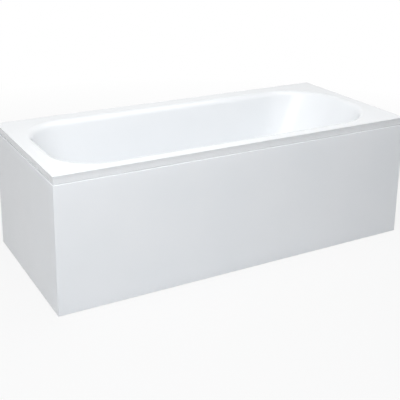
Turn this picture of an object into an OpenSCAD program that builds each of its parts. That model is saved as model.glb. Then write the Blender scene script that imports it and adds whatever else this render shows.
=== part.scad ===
// Panelled acrylic bathtub: a formed shell on levelling feet, with clip-on front and end
// panels and a cable-driven pop-up waste. The origin is on the floor under the centre of
// the rim. The foot end, with the drain, is at -X, the sloping back rest at +X, the
// panelled front at -Y and the wall side at +Y.

/* [Overall] */
// Length of the rim
bath_l = 1700; // [1600:10:1800]
// Width of the rim
bath_w = 750; // [720:5:850]
// Height of the rim above the floor
bath_h = 575; // [560:5:620]
// Depth of the basin at the drain, below the rim
basin_depth = 420; // [380:5:425]

/* [Rim and basin] */
// Height of the down-turned lip
lip_h = 34; // [28:1:40]
// Thickness of the lip
lip_t = 6; // [4:0.5:7]
// Inward lean of the lip from upright
lip_lean = 6; // [2:1:8]
// Thickness of the formed and backed sheet
shell_t = 7; // [5:0.5:9]
// Rounding of the top outer edge of the rim
edge_r = 4; // [2:0.5:5]
// Corner radius of the rim in plan
rim_corner_r = 9; // [8:1:20]
// Flat rim along the front
rim_front = 44; // [42:1:60]
// Flat rim along the wall
rim_back = 66; // [44:1:80]
// Flat rim at the foot end
rim_foot = 52; // [46:1:70]
// Flat rim at the head end
rim_head = 46; // [44:1:70]
// Plan radius of the opening's corners at the foot end
open_r_foot = 220; // [200:5:260]
// Plan radius of the opening's corners at the head end
open_r_head = 280; // [220:5:300]
// Radius with which the rim rolls over into the basin
roll_r = 32; // [20:1:40]
// Lean of the long walls from upright
lean_side = 8; // [5:1:12]
// Lean of the foot end wall
lean_foot = 15; // [10:1:20]
// Lean of the back rest
lean_head = 28; // [20:1:32]
// Radius between the walls and the floor
floor_r = 65; // [45:5:80]
// Radius between the back rest and the floor
floor_r_head = 110; // [80:5:130]
// Fall of the floor towards the drain, per metre
floor_fall = 6; // [0:1:10]

/* [Under the basin] */
// Thickness of the reinforcing board
board_t = 18; // [15:1:20]
// Width of the reinforcing board
board_w = 330; // [280:5:340]
// Height of the leg channels
channel_h = 28; // [24:1:32]
// Width of a leg channel's web
channel_w = 40; // [36:1:50]
// Sheet thickness of the leg channels
channel_t = 2.5; // [2:0.5:3]
// Length of the leg channels
channel_l = 558; // [540:2:580]
// Distance of the feet from the ends of their channel
foot_in = 54; // [48:1:64]
// Distance of the foot end channel from the foot end of the rim
leg_foot_in = 480; // [460:5:560]
// Distance of the head end channel from the head end of the rim
leg_head_in = 450; // [420:5:560]
// Diameter of the levelling studs
stud_d = 12; // [10:1:12]
// Clearance between the tips of the levelling studs and the level of the basin's underside
stud_gap = 3; // [2:0.5:8]
// Diameter of the foot pads
pad_d = 50; // [40:1:60]
// Height of the foot pads
pad_h = 18; // [14:1:22]
// Height of a rim batten
batten_h = 20; // [16:1:22]
// Width of a rim batten
batten_w = 28; // [24:1:30]

/* [Panels] */
// Thickness of the panels
panel_t = 4; // [3:0.5:5]
// Shadow gap between the lip and the panels
panel_gap = 2; // [1.5:0.5:4]
// Height of the panels' lower edge above the floor
panel_foot = 3; // [2:1:6]
// Depth of the flanges along the panels' edges
flange_w = 26; // [22:1:28]
// Rounding of the panels' top edge and corner
panel_r = 3.5; // [2:0.5:4]
// Setback of the panels from the face of the lip
panel_set = 0.5; // [0.2:0.1:1]
// Number of clips along the front
front_clips = 4; // [3:1:6]
// Number of clips along the end
end_clips = 2; // [2:1:3]
// Width of a panel clip
clip_w = 40; // [30:1:50]
// Thickness of the panel and wall brackets
bracket_t = 3; // [2:0.5:4]
// Width of the panel and wall brackets
bracket_w = 30; // [24:1:40]

/* [Waste and overflow] */
// Distance of the drain from the foot end of the rim
drain_in = 350; // [340:5:365]
// Radius of the drain hole in the shell
drain_hole_r = 26; // [25:0.5:28]
// Depth of the recess that the drain flange sits in
recess_h = 3; // [2:0.5:3]
// Outer radius of the drain flange
flange_r = 41; // [38:1:43]
// Radius of the plug
plug_r = 33; // [30:1:35]
// Lift of the plug
plug_lift = 8; // [6:0.5:9]
// Depth of the overflow's centre below the rim
over_depth = 95; // [90:5:110]
// Radius of the overflow hole in the shell
over_hole_r = 27; // [26:0.5:28]
// Radius of the overflow knob
knob_r = 36; // [34:1:40]
// Outer radius of the overflow hose
hose_r = 15; // [14:0.5:15]
// Radius of the hose's bore
hose_bore_r = 12; // [11.5:0.5:12.5]
// Number of ribs on the hose
hose_ribs = 64; // [40:2:80]
// Outer radius of the trap's pipe
trap_r = 21.5; // [20:0.5:22]
// Wall of the trap's pipe
trap_wall = 3; // [2:0.5:3.5]
// Bend radius of the trap
trap_bend_r = 32; // [30:1:34]
// Outer radius of the outlet pipe
outlet_r = 20; // [16:1:20]
// Radius of the cable's sheath
cable_r = 2.5; // [2:0.5:3]

/* [Hidden] */

acrylic = "white";
timber = "burlywood";
zinc = "lightsteelblue";
chrome = "silver";
moulded = "gainsboro";
seal_black = "dimgray";
pad_black = "darkslategray";

$fn = 64;
fit = 0.05;        // running clearance of a shaft in its bore
seat = 0.3;        // clearance between curved faces that only rest on each other
eps = 0.01;

// Places along the length and width
x_foot = -bath_l / 2;
x_head = bath_l / 2;
y_front = -bath_w / 2;
y_back = bath_w / 2;
open_x0 = x_foot + rim_foot;
open_x1 = x_head - rim_head;
open_y0 = y_front + rim_front;
open_y1 = y_back - rim_back;
y_mid = (open_y0 + open_y1) / 2;
drain_x = x_foot + drain_in;

// Levels
z_floor = bath_h - basin_depth;
z_under = z_floor - shell_t;
z_board = z_under - board_t;
z_web = z_board - channel_h;
z_lip = bath_h - lip_h;
z_batten = bath_h - shell_t - batten_h;

// The lip leans in below its rounded edge
lip_in = (lip_h - edge_r) * tan(lip_lean);
lip_back = lip_in + lip_t;
lip_root = lip_t + (shell_t - edge_r) * tan(lip_lean);

// The four walls in order: head, back, foot, front
lean = [lean_head, lean_side, lean_foot, lean_side];
fillet = [floor_r_head, floor_r, floor_r, floor_r];
corner_r = [open_r_head, open_r_foot, open_r_foot, open_r_head];
roll_steps = 5;
wall_steps = 3;
fillet_steps = 6;
corner_steps = 10;
rings = roll_steps + wall_steps + fillet_steps;

function mix(a, b, t) = a + (b - a) * t;
function lerp_points(a, b, t) = [for (i = [0:len(a) - 1]) mix(a[i], b[i], t)];

// Inset of the centre of the floor radius behind wall s
function fillet_inset(s) = let (a = lean[s], f = fillet[s])
    roll_r * cos(a) + (basin_depth - f + f * sin(a) - roll_r + roll_r * sin(a)) * tan(a) + f * cos(a);

// Inset and depth of wall s at ring k, for a surface e below the visible one
function roll_point(s, t, e) = let (p = (90 - lean[s]) * t)
    [(roll_r - e) * sin(p), roll_r - (roll_r - e) * cos(p)];
function fillet_point(s, t, e) = let (p = mix(lean[s], 90, t), f = fillet[s])
    [fillet_inset(s) - (f + e) * cos(p), basin_depth - f + (f + e) * sin(p)];
function wall_point(s, k, e) =
    k <= roll_steps ? roll_point(s, k / roll_steps, e)
    : k >= roll_steps + wall_steps
        ? fillet_point(s, (k - roll_steps - wall_steps) / fillet_steps, e)
        : lerp_points(roll_point(s, 1, e), fillet_point(s, 0, e), (k - roll_steps) / wall_steps);

// The floor falls towards the drain on the visible face alone
function fall_at(x, k, e) = e > 0 ? 0
    : floor_fall / 1000 * (x - drain_x) * pow(max(k - roll_steps, 0) / (rings - roll_steps), 2);

// One ring of the basin, as four corner arcs whose depth blends from wall to wall
function basin_ring(k, e) = let (
        w = [for (s = [0:3]) wall_point(s, k, e)],
        x0 = open_x0 + w[2][0], x1 = open_x1 - w[0][0],
        y0 = open_y0 + w[3][0], y1 = open_y1 - w[1][0])
    [for (c = [0:3], i = [0:corner_steps]) let (
        r = corner_r[c] - w[c % 2 == 0 ? c + 1 : c][0],
        a = 90 * (c + i / corner_steps),
        cx = c == 0 || c == 3 ? x1 - r : x0 + r,
        cy = c < 2 ? y1 - r : y0 + r,
        x = cx + r * cos(a),
        depth = mix(w[c][1], w[(c + 1) % 4][1], (1 - cos(2 * 90 * i / corner_steps)) / 2))
        [x, cy + r * sin(a), bath_h - depth + fall_at(x, k, e)]];

// One ring round the outside of the rim
function rim_ring(inset, z) = let (r = max(rim_corner_r - inset, 1))
    [for (c = [0:3], i = [0:corner_steps]) let (
        a = 90 * (c + i / corner_steps),
        sx = c == 0 || c == 3 ? 1 : -1,
        sy = c < 2 ? 1 : -1)
        [sx * (bath_l / 2 - inset - r) + r * cos(a), sy * (bath_w / 2 - inset - r) + r * sin(a), z]];

// Places on the sloping foot end wall, for the overflow
over_x = open_x0 + roll_r * cos(lean_foot)
    + (over_depth - roll_r + roll_r * sin(lean_foot)) * tan(lean_foot);
over_z = bath_h - over_depth;

// Stack of the waste, from the floor of the basin down
z_recess = z_floor - recess_h;
gasket_t = 1.5;
flange_t = 2;
washer_t = 4;
washer_r = 38;
body_flange_t = 4;
z_body = z_under - washer_t;
tail_r = drain_hole_r - 2.5;
tail_wall = 3;
body_wall = 5.5;
shaft_drop = 37;
inlet_drop = 41;
inlet_floor = 3;
body_tail_l = 17;
z_shaft = z_floor - shaft_drop;
z_inlet = z_floor - inlet_drop;
z_barrel = z_inlet - hose_r - inlet_floor;
barrel_floor_t = 4;
body_tail_r = 22.5;
z_tail = z_barrel - body_tail_l;
hub_r = 8;

// Lift lever: a finger inside the body and a crank outside, on one shaft
finger_l = 15;
crank_l = 16;
lever_half = asin(plug_lift / 2 / finger_l);
shaft_r = 3;
shaft_x = drain_x + finger_l;
finger_r = 3;
crank_out = 40;
pull_out = 46;
crank_y = y_mid - crank_out;
crank_t = 4;
pin_r = 1.5;
pull_y = y_mid - pull_out;
wire_r = 0.9;
wire_gap = 0.4;
wire_travel = 2 * crank_l * sin(lever_half);
z_wire = z_shaft - crank_l * (1 + cos(lever_half)) / 2;
stem_r = 4;
nose_r = 1;
nose_h = 2;
z_stem = z_shaft - finger_l * sin(lever_half) + finger_r / cos(lever_half)
    + nose_r * tan(lever_half) + seat;
z_plug = z_recess + gasket_t + flange_t;
lug_in = 18;
lug_x = drain_x - lug_in;

// Overflow, in its own frame: z into the basin, x down the wall
seal_t = 3;
cup_r = 27;
cup_wall = 2.5;
cup_h = 37;
z_cup = -shell_t - seal_t;
spout_z = z_cup - cup_h + cup_wall + hose_r + 1;
spout_l = 52;
boss_r = hose_r - 0.2;
hose_sides = 12;
spigot_l = 16;
spigot_r = hose_bore_r * cos(180 / hose_sides) - fit;    // fits the flats of the hose's bore
spigot_bore_r = hose_bore_r - 2.5;
inlet_l = 45;
cam_z = z_cup - cup_h + 8;
cam_r = 11;
spindle_r = 4;
nipple_l = 38;
nipple_r = 5;

module at_overflow() {
    translate([over_x, y_mid, over_z]) rotate([0, 90 - lean_foot, 0]) children();
}
function over_point(p) = let (a = 90 - lean_foot)
    [over_x + p[0] * cos(a) + p[2] * sin(a), y_mid + p[1], over_z - p[0] * sin(a) + p[2] * cos(a)];

// Routes of the hose and of the cable, as curves that leave square to their fittings
function bezier(p, t) = pow(1 - t, 3) * p[0] + 3 * pow(1 - t, 2) * t * p[1]
    + 3 * (1 - t) * t * t * p[2] + pow(t, 3) * p[3];
function unit(v) = v / norm(v);
hose_straight = 2 * hose_r;
hose_top = over_point([spout_l, 0, spout_z]);
hose_top_in = over_point([spout_l + hose_straight, 0, spout_z]);
hose_end = [drain_x - inlet_l, y_mid, z_inlet];
hose_end_in = hose_end - [hose_straight, 0, 0];
hose_pull = [230, 140];    // how far the curve follows each fitting's direction
hose_curve = [hose_top_in, hose_top_in + hose_pull[0] * unit(hose_top_in - hose_top),
    hose_end_in - [hose_pull[1], 0, 0], hose_end_in];
cable_top = over_point([cam_r, -nipple_l, cam_z]);
cable_end = [lug_x, pull_y, z_wire];
cable_pull_in = [70, 250];
cable_curve = [cable_top, cable_top - [0, cable_pull_in[0], 0],
    cable_end - [cable_pull_in[1], 0, 0], cable_end];

// Faces of a closed skin over rings of equal length, capped at both ends
function skin_faces(count, n) = concat(
    [[for (j = [0:n - 1]) j]],
    [for (i = [0:count - 2], j = [0:n - 1]) each let (k = (j + 1) % n)
        [[i * n + j, (i + 1) * n + j, (i + 1) * n + k], [i * n + j, (i + 1) * n + k, i * n + k]]],
    [[for (j = [n - 1:-1:0]) (count - 1) * n + j]]);
module skin(loops) {
    polyhedron([for (l = loops) each l], skin_faces(len(loops), len(loops[0])), convexity = 6);
}

// A ring of points round a path at p, square to direction d; side stays nearest to up
function ring_at(p, d, up, r, sides) = let (u = unit(cross(d, up)), v = cross(unit(d), u))
    [for (i = [0:sides - 1]) p + r * (cos(360 * i / sides) * u + sin(360 * i / sides) * v)];

module tube(outer, inner, h) {
    difference() {
        cylinder(r = outer, h = h);
        translate([0, 0, -1]) cylinder(r = inner, h = h + 2);
    }
}

// Tub

module tub_shell() {
    edge_step = 30;
    recess_gap = 1;
    loops = concat(
        [for (k = [rings:-1:0]) basin_ring(k, 0)],
        [for (a = [90:-edge_step:0]) rim_ring(edge_r * (1 - cos(a)), bath_h - edge_r * (1 - sin(a)))],
        [rim_ring(lip_in, z_lip), rim_ring(lip_back, z_lip), rim_ring(lip_root, bath_h - shell_t)],
        [for (k = [0:rings]) basin_ring(k, shell_t)]);
    color(acrylic) difference() {
        skin(loops);
        translate([drain_x, y_mid, z_recess]) cylinder(r = flange_r + recess_gap, h = 2 * shell_t);
        translate([drain_x, y_mid, z_under - 1]) cylinder(r = drain_hole_r, h = 2 * shell_t);
        at_overflow() translate([0, 0, -2 * shell_t]) cylinder(r = over_hole_r, h = 4 * shell_t);
    }
}

// The board stops short of the drain and of the radius under the back rest
board_from_drain = 80;
board_from_rest = 55;
board_x0 = drain_x + board_from_drain;
board_x1 = open_x1 - fillet_inset(0) - board_from_rest;
board_corner = 40;
leg_x = [x_foot + leg_foot_in, x_head - leg_head_in];
flange_out = 16;
screw_r = 2.25;
screw_in = 14;
screw_gap = 0.5;
screw_edge = 35;
screw_x = channel_w / 2 + flange_out / 2;
screw_ys = [for (y = [-1, -0.5, 0.5, 1]) y * (board_w / 2 - screw_edge)];
module each_channel_screw() {
    for (x = leg_x, sx = [-1, 1], y = screw_ys)
        translate([x + sx * screw_x, y_mid + y, z_board]) children();
}

module base_board() {
    color(timber) difference() {
        translate([board_x0, y_mid - board_w / 2, z_board])
            cube([board_x1 - board_x0, board_w, board_t]);
        for (x = [board_x0, board_x1], s = [-1, 1])
            translate([x, y_mid + s * board_w / 2, z_board - 1]) rotate(45)
                cube([board_corner, board_corner, 3 * board_t], center = true);
        each_channel_screw() translate([0, 0, -1]) cylinder(r = screw_r + fit, h = screw_in + 1);
    }
}

// Battens under the rim, bonded behind the lip. The wall brackets' tongues pass behind
// the battens at the wall and at the head end.
batten_end = 40;
batten_gap = 2;
batten_in = lip_back + batten_w + batten_gap;
tongue_gap = bracket_t + 2 * seat;
clip_end = 180;
clip_screw_r = 2;
clip_screw_in = 12;
clip_xs = [for (i = [0:front_clips - 1])
    mix(x_foot + clip_end, x_head - clip_end, i / (front_clips - 1))];
clip_ys = [for (i = [0:end_clips - 1]) mix(-bath_w / 4, bath_w / 4, i / (end_clips - 1))];
clip_screw_in_y = lip_back + batten_w / 2;
clip_tip_gap = 2;

module rim_batten_front() {
    color(timber) difference() {
        translate([x_foot + batten_in, y_front + lip_back, z_batten])
            cube([bath_l - 2 * batten_in, batten_w, batten_h]);
        for (x = clip_xs) translate([x, y_front + clip_screw_in_y, z_batten - 1])
            cylinder(r = clip_screw_r + fit, h = clip_screw_in + 1);
    }
}

module rim_batten_back() {
    color(timber) translate([x_foot + batten_in, y_back - lip_back - tongue_gap - batten_w, z_batten])
        cube([bath_l - 2 * batten_in - tongue_gap, batten_w, batten_h]);
}

module rim_batten_foot_end() {
    color(timber) difference() {
        translate([x_foot + lip_back, y_front + batten_end, z_batten])
            cube([batten_w, bath_w - 2 * batten_end, batten_h]);
        for (y = clip_ys) translate([x_foot + clip_screw_in_y, y, z_batten - 1])
            cylinder(r = clip_screw_r + fit, h = clip_screw_in + 1);
    }
}

module rim_batten_head_end() {
    color(timber) translate([x_head - lip_back - tongue_gap - batten_w, y_front + batten_end, z_batten])
        cube([batten_w, bath_w - 2 * batten_end, batten_h]);
}

// Leg frame

foot_y = channel_l / 2 - foot_in;
bolt_r = 3;
bolt_gap = 0.3;
bracket_bolt_y = channel_l / 2 - 14;
end_bolt_y = -120;
slot_ys = [-60, 0, 60];
slot_w = 9;
slot_l = 31;

// A hat-shaped channel across the board: web below, flanges screwed to the board
module leg_channel(end_bolt) {
    difference() {
        union() {
            translate([-channel_w / 2, -channel_l / 2, z_web])
                cube([channel_w, channel_l, channel_t]);
            for (s = [-1, 1]) {
                translate([s * (channel_w - channel_t) / 2 - channel_t / 2, -channel_l / 2, z_web])
                    cube([channel_t, channel_l, channel_h]);
                translate([s * (channel_w / 2 + flange_out / 2) - flange_out / 2 - eps / 2,
                        -channel_l / 2, z_board - channel_t])
                    cube([flange_out + eps, channel_l, channel_t]);
            }
        }
        for (s = [-1, 1]) {
            translate([0, s * foot_y, z_web - 1])
                cylinder(r = stud_d / 2 + screw_gap, h = channel_t + 2);
            translate([0, s * bracket_bolt_y, z_web - 1])
                cylinder(r = bolt_r + bolt_gap, h = channel_t + 2);
            for (y = screw_ys) translate([s * screw_x, y, z_board - channel_t - 1])
                cylinder(r = screw_r + screw_gap, h = channel_t + 2);
        }
        for (y = slot_ys) translate([0, y, z_web - 1]) linear_extrude(channel_t + 2) {
            square([slot_w, slot_l - slot_w], center = true);
            for (s = [-1, 1]) translate([0, s * (slot_l - slot_w) / 2]) circle(r = slot_w / 2);
        }
        if (end_bolt) translate([0, end_bolt_y, z_web - 1])
            cylinder(r = bolt_r + bolt_gap, h = channel_t + 2);
    }
}

module leg_channel_foot_end() {
    color(zinc) translate([leg_x[0], y_mid, 0]) leg_channel(true);
}

module leg_channel_head_end() {
    color(zinc) translate([leg_x[1], y_mid, 0]) leg_channel(false);
}

module channel_screws() {
    head_r = 5;
    head_h = 2.5;
    color(zinc) each_channel_screw() translate([0, 0, -channel_t - head_h]) {
        cylinder(r = head_r, h = head_h);
        cylinder(r = screw_r, h = head_h + channel_t + screw_in - 2);
    }
}

// Levelling feet: a stud clamped to the web by two nuts, turning in a moulded pad
nut_h = stud_d * 0.8;
nut_r = stud_d * 0.9;
stud_in = 10;
stud_z0 = pad_h - stud_in;
stud_l = z_under - stud_gap - stud_z0;

module foot_lock_nuts() {
    color(zinc) for (x = leg_x, s = [-1, 1], z = [z_web - nut_h, z_web + channel_t])
        translate([x, y_mid + s * foot_y, z]) difference() {
            cylinder(r = nut_r, h = nut_h, $fn = 6);
            translate([0, 0, -1]) cylinder(r = stud_d / 2 + fit, h = nut_h + 2);
        }
}

module foot_stud(i, s) {
    bevel = 1.5;
    color(zinc) translate([leg_x[i], y_mid + s * foot_y, stud_z0]) rotate_extrude()
        polygon([[0, 0], [stud_d / 2, 0], [stud_d / 2, stud_l - bevel],
            [stud_d / 2 - bevel, stud_l], [0, stud_l]]);
}

module foot_pad(i, s) {
    collar_r = stud_d / 2 + 5;
    bevel = 1;
    disc_h = 5;
    dish_h = 4;
    flare = 3;
    color(pad_black) translate([leg_x[i], y_mid + s * foot_y, 0]) rotate_extrude() difference() {
        polygon([[0, 0], [pad_d / 2 - bevel, 0], [pad_d / 2, bevel], [pad_d / 2, disc_h],
            [collar_r + flare, disc_h + dish_h], [collar_r, disc_h + dish_h + flare],
            [collar_r, pad_h], [0, pad_h]]);
        translate([0, stud_z0]) square([stud_d / 2 + fit, pad_h]);
    }
}

module foot_stud_front_left() foot_stud(0, -1);
module foot_stud_front_right() foot_stud(1, -1);
module foot_stud_back_left() foot_stud(0, 1);
module foot_stud_back_right() foot_stud(1, 1);
module foot_pad_front_left() foot_pad(0, -1);
module foot_pad_front_right() foot_pad(1, -1);
module foot_pad_back_left() foot_pad(0, 1);
module foot_pad_back_right() foot_pad(1, 1);

// Panels: formed sheets with a flange along the top, the bottom and the far edge,
// mitred where they meet at the near corner

z_panel = z_lip - panel_gap;
mitre_gap = 0.15;

// Section of a panel, with x inwards from the face and y upwards: a C whose bends have
// the same radius inside and outside
bend_steps = 4;
function bend_points(x, z, from, to) = [for (i = [0:bend_steps]) let (a = mix(from, to, i / bend_steps))
    [x + panel_r * cos(a), z + panel_r * sin(a)]];
module panel_section() {
    low = panel_foot + panel_r;
    high = z_panel - panel_r;
    inner = panel_t + panel_r;
    polygon(concat(
        [[flange_w, panel_foot]], bend_points(panel_r, low, 270, 180),
        bend_points(panel_r, high, 180, 90), [[flange_w, z_panel], [flange_w, z_panel - panel_t]],
        bend_points(inner, high - panel_t, 90, 180), bend_points(inner, low + panel_t, 180, 270),
        [[flange_w, panel_foot + panel_t]]));
}

// A panel of length l along +X whose face looks towards -Y; its left end is mitred
module panel(l) {
    face = panel_set;
    difference() {
        union() {
            translate([face, face, 0]) rotate([90, 0, 90]) linear_extrude(l) panel_section();
            translate([face + l - panel_t, face + panel_t - eps, panel_foot])
                cube([panel_t, flange_w - panel_t, z_panel - panel_foot]);
        }
        // The mitre keeps what lies in front of the diagonal, less the gap
        translate([face + mitre_gap, face - mitre_gap, 0]) rotate(45)
            translate([-flange_w, 0, -1]) cube([4 * flange_w, 2 * flange_w, bath_h]);
        // Rounding of the upright corner
        difference() {
            translate([face - 1, face - 1, 0]) cube([panel_r + 1, panel_r + 1, bath_h]);
            translate([face + panel_r, face + panel_r, -1]) cylinder(r = panel_r, h = bath_h + 2);
        }
    }
}

module front_panel() {
    color(acrylic) translate([x_foot, y_front, 0]) panel(bath_l - 2 * panel_set);
}

module end_panel() {
    color(acrylic) translate([x_foot, y_front, 0]) mirror([1, -1, 0]) panel(bath_w - 2 * panel_set);
}

// A clip under the batten whose jaw holds the panel's top flange. Its screw goes up
// through the jaw, with the head in the web above the flange.
clip_head_r = 4;
clip_head_h = 2;
z_clip_web = z_panel + clip_head_h + 2 * seat;
module clip() {
    jaw = 8;
    front = 10.5;
    spine = 8;
    gap = 2;
    head_gap = 0.5;
    mouth = panel_set + flange_w + gap;
    z_jaw = z_panel - panel_t - jaw;
    difference() {
        translate([-clip_w / 2, front, z_jaw])
            cube([clip_w, mouth + spine - front, z_batten - z_jaw]);
        translate([-clip_w, -eps, z_panel - panel_t - seat])
            cube([2 * clip_w, mouth, panel_t + 2 * seat]);
        translate([0, clip_screw_in_y, z_jaw - 1]) {
            cylinder(r = clip_screw_r + fit, h = z_batten - z_jaw + 2);
            cylinder(r = clip_head_r + head_gap, h = z_clip_web - z_jaw + 1);
        }
    }
}

module front_panel_clips() {
    color(moulded) for (x = clip_xs) translate([x, y_front, 0]) clip();
}

module end_panel_clips() {
    color(moulded) for (y = clip_ys) translate([x_foot, y, 0]) mirror([1, -1, 0]) clip();
}

module clip_screw() {
    translate([0, clip_screw_in_y, z_clip_web - clip_head_h]) {
        cylinder(r = clip_head_r, h = clip_head_h);
        cylinder(r = clip_screw_r, h = z_batten - z_clip_web + clip_head_h + clip_screw_in - clip_tip_gap);
    }
}

module clip_screws() {
    color(zinc) {
        for (x = clip_xs) translate([x, y_front, 0]) clip_screw();
        for (y = clip_ys) translate([x_foot, y, 0]) mirror([1, -1, 0]) clip_screw();
    }
}

// An arm bolted under a channel, which drops behind the panel; its toe holds the
// panel's bottom flange down. reach runs from the bolt to the panel's face.
module panel_bracket(reach) {
    tail = 10;
    toe_gap = 4;
    drop_y = reach - panel_set - flange_w - toe_gap;
    toe_z = panel_foot + panel_t + seat;
    difference() {
        translate([-bracket_w / 2, -tail, z_web - bracket_t])
            cube([bracket_w, drop_y + tail, bracket_t]);
        translate([0, 0, z_web - bracket_t - 1]) cylinder(r = bolt_r + bolt_gap, h = bracket_t + 2);
    }
    translate([-bracket_w / 2, drop_y - bracket_t, toe_z])
        cube([bracket_w, bracket_t, z_web - toe_z]);
    translate([-bracket_w / 2, drop_y - bracket_t, toe_z])
        cube([bracket_w, bracket_t + flange_w - panel_t, bracket_t]);
}

module panel_bracket_at(i) {
    bolt_y = y_mid - bracket_bolt_y;
    translate([leg_x[i], bolt_y, 0]) mirror([0, 1, 0]) panel_bracket(bolt_y - y_front);
}

module panel_bracket_left() {
    color(zinc) panel_bracket_at(0);
}

module panel_bracket_right() {
    color(zinc) panel_bracket_at(1);
}

// The long arm to the end panel is stiffened by an upturned edge
module panel_bracket_end() {
    rib_h = 18;
    rib_y0 = channel_w / 2 + flange_out + 2;
    rib_y1 = leg_foot_in - panel_set - 2 * flange_w;
    color(zinc) translate([leg_x[0], y_mid + end_bolt_y, 0]) rotate(90) {
        panel_bracket(leg_foot_in);
        translate([-bracket_w / 2, rib_y0, z_web - eps])
            cube([bracket_t, rib_y1 - rib_y0, rib_h]);
    }
}

module bracket_bolts() {
    head_r = 5.5;
    head_h = 4;
    tip = 8;
    hex_h = 5;
    color(zinc) for (p = [[leg_x[0], y_mid - bracket_bolt_y], [leg_x[1], y_mid - bracket_bolt_y],
            [leg_x[0], y_mid + end_bolt_y]])
        translate([p[0], p[1], z_web - bracket_t - head_h]) {
            cylinder(r = head_r, h = head_h, $fn = 6);
            cylinder(r = bolt_r, h = head_h + bracket_t + channel_t + tip);
            translate([0, 0, head_h + bracket_t + channel_t]) cylinder(r = head_r, h = hex_h, $fn = 6);
        }
}

// Wall brackets: screwed to the wall, with a tongue up behind the lip
wall_hole_spacing = 40;
wall_hole_r = 3;
wall_plate_h = 70;
wall_hole_z = z_lip - wall_plate_h / 2 - 4;
tongue_h = 16;
wall_bracket_in = 400;

module wall_bracket() {
    color(zinc) difference() {
        union() {
            translate([-bracket_w / 2, -bracket_t, z_lip - wall_plate_h])
                cube([bracket_w, bracket_t, wall_plate_h]);
            translate([-bracket_w / 2, -lip_back - seat - bracket_t, z_lip - bracket_t])
                cube([bracket_w, lip_back + seat + bracket_t, bracket_t]);
            translate([-bracket_w / 2, -lip_back - seat - bracket_t, z_lip - bracket_t])
                cube([bracket_w, bracket_t, bracket_t + tongue_h]);
        }
        for (s = [-1, 1]) translate([0, 1, wall_hole_z + s * wall_hole_spacing / 2])
            rotate([90, 0, 0]) cylinder(r = wall_hole_r, h = bracket_t + 2);
    }
}

module wall_bracket_left() {
    translate([x_foot + wall_bracket_in, y_back, 0]) wall_bracket();
}

module wall_bracket_right() {
    translate([x_head - wall_bracket_in, y_back, 0]) wall_bracket();
}

module wall_bracket_head_end() {
    translate([x_head, 0, 0]) rotate(-90) wall_bracket();
}

// Waste

module at_drain(z) {
    translate([drain_x, y_mid, z]) children();
}

// Dished flange with a threaded tail and a spider that guides the stem
module drain_flange() {
    edge = 0.6;
    bevel = 2;
    tail_l = 24;
    spider_z = 13;
    spider_t = 4;
    spoke_w = 3;
    color(chrome) at_drain(z_recess + gasket_t) {
        rotate_extrude() polygon([[tail_r - tail_wall, edge], [tail_r, flange_t],
            [flange_r - bevel, flange_t], [flange_r, edge], [flange_r, 0], [tail_r, 0],
            [tail_r, -tail_l], [tail_r - tail_wall, -tail_l]]);
        translate([0, 0, -spider_z]) difference() {
            union() {
                cylinder(r = hub_r, h = spider_t);
                for (a = [30:120:270]) rotate(a) translate([0, -spoke_w / 2, 0])
                    cube([tail_r - tail_wall + 1, spoke_w, spider_t]);
            }
            translate([0, 0, -1]) cylinder(r = stem_r + fit, h = spider_t + 2);
        }
    }
}

module drain_gasket() {
    color(seal_black) at_drain(z_recess) tube(flange_r - 1, drain_hole_r + 1, gasket_t);
}

module drain_washer() {
    color(seal_black) at_drain(z_body) tube(washer_r, drain_hole_r + 1, washer_t);
}

// Moulded body: barrel, overflow inlet, threaded outlet, shaft boss and cable lug
module drain_body() {
    bore_r = tail_r + fit;
    barrel_r = bore_r + body_wall;
    boss_l = 35;
    boss_wall = 3.5;
    lug_t = 6;
    lug_h = 14;
    tail_bore_r = body_tail_r - 4;
    color(moulded) difference() {
        union() {
            at_drain(z_body - body_flange_t) cylinder(r = washer_r + 2, h = body_flange_t);
            at_drain(z_barrel) cylinder(r = barrel_r, h = z_body - z_barrel - eps);
            at_drain(z_tail) cylinder(r = body_tail_r, h = z_barrel - z_tail + eps);
            translate([hose_end[0], y_mid, z_inlet]) rotate([0, 90, 0])
                cylinder(r = boss_r, h = drain_x - hose_end[0]);
            translate([hose_end[0] - spigot_l, y_mid, z_inlet]) rotate([0, 90, 0])
                cylinder(r = spigot_r, h = spigot_l + body_wall);
            translate([shaft_x, y_mid - boss_l, z_shaft]) rotate([-90, 0, 0])
                cylinder(r = shaft_r + boss_wall, h = boss_l);
            translate([lug_x, pull_y - lug_t, z_wire - lug_h / 2]) cube([lug_t, y_mid - pull_y, lug_h]);
        }
        at_drain(z_barrel + barrel_floor_t) cylinder(r = bore_r, h = z_body - z_barrel);
        at_drain(z_tail - 1) cylinder(r = tail_bore_r, h = z_body - z_tail);
        translate([hose_end[0] - spigot_l - 1, y_mid, z_inlet]) rotate([0, 90, 0])
            cylinder(r = spigot_bore_r, h = drain_x - hose_end[0] + spigot_l);
        translate([shaft_x, y_mid - boss_l - 1, z_shaft]) rotate([-90, 0, 0])
            cylinder(r = shaft_r + fit, h = boss_l + 1);
        translate([lug_x - 1, pull_y, z_wire]) rotate([0, 90, 0])
            cylinder(r = wire_r + wire_gap, h = lug_t + 2);
    }
}

// Domed cap on a hub that carries the seal and the stem
plug_hub_r = 9;
plug_hub_h = 4;
plug_low = 0.8;

module plug_cap() {
    edge_h = 2;
    dome_h = 2.4;
    bevel = 0.6;
    color(chrome) at_drain(z_plug) {
        rotate_extrude() polygon([[0, plug_low], [plug_r - bevel, plug_low], [plug_r, plug_low + bevel],
            for (t = [0.97, 0.8, 0.6, 0.4, 0.2, 0]) [plug_r * t, plug_low + edge_h + dome_h * (1 - t * t)]]);
        translate([0, 0, -plug_hub_h]) cylinder(r = plug_hub_r, h = plug_hub_h + plug_low + eps);
    }
}

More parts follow.
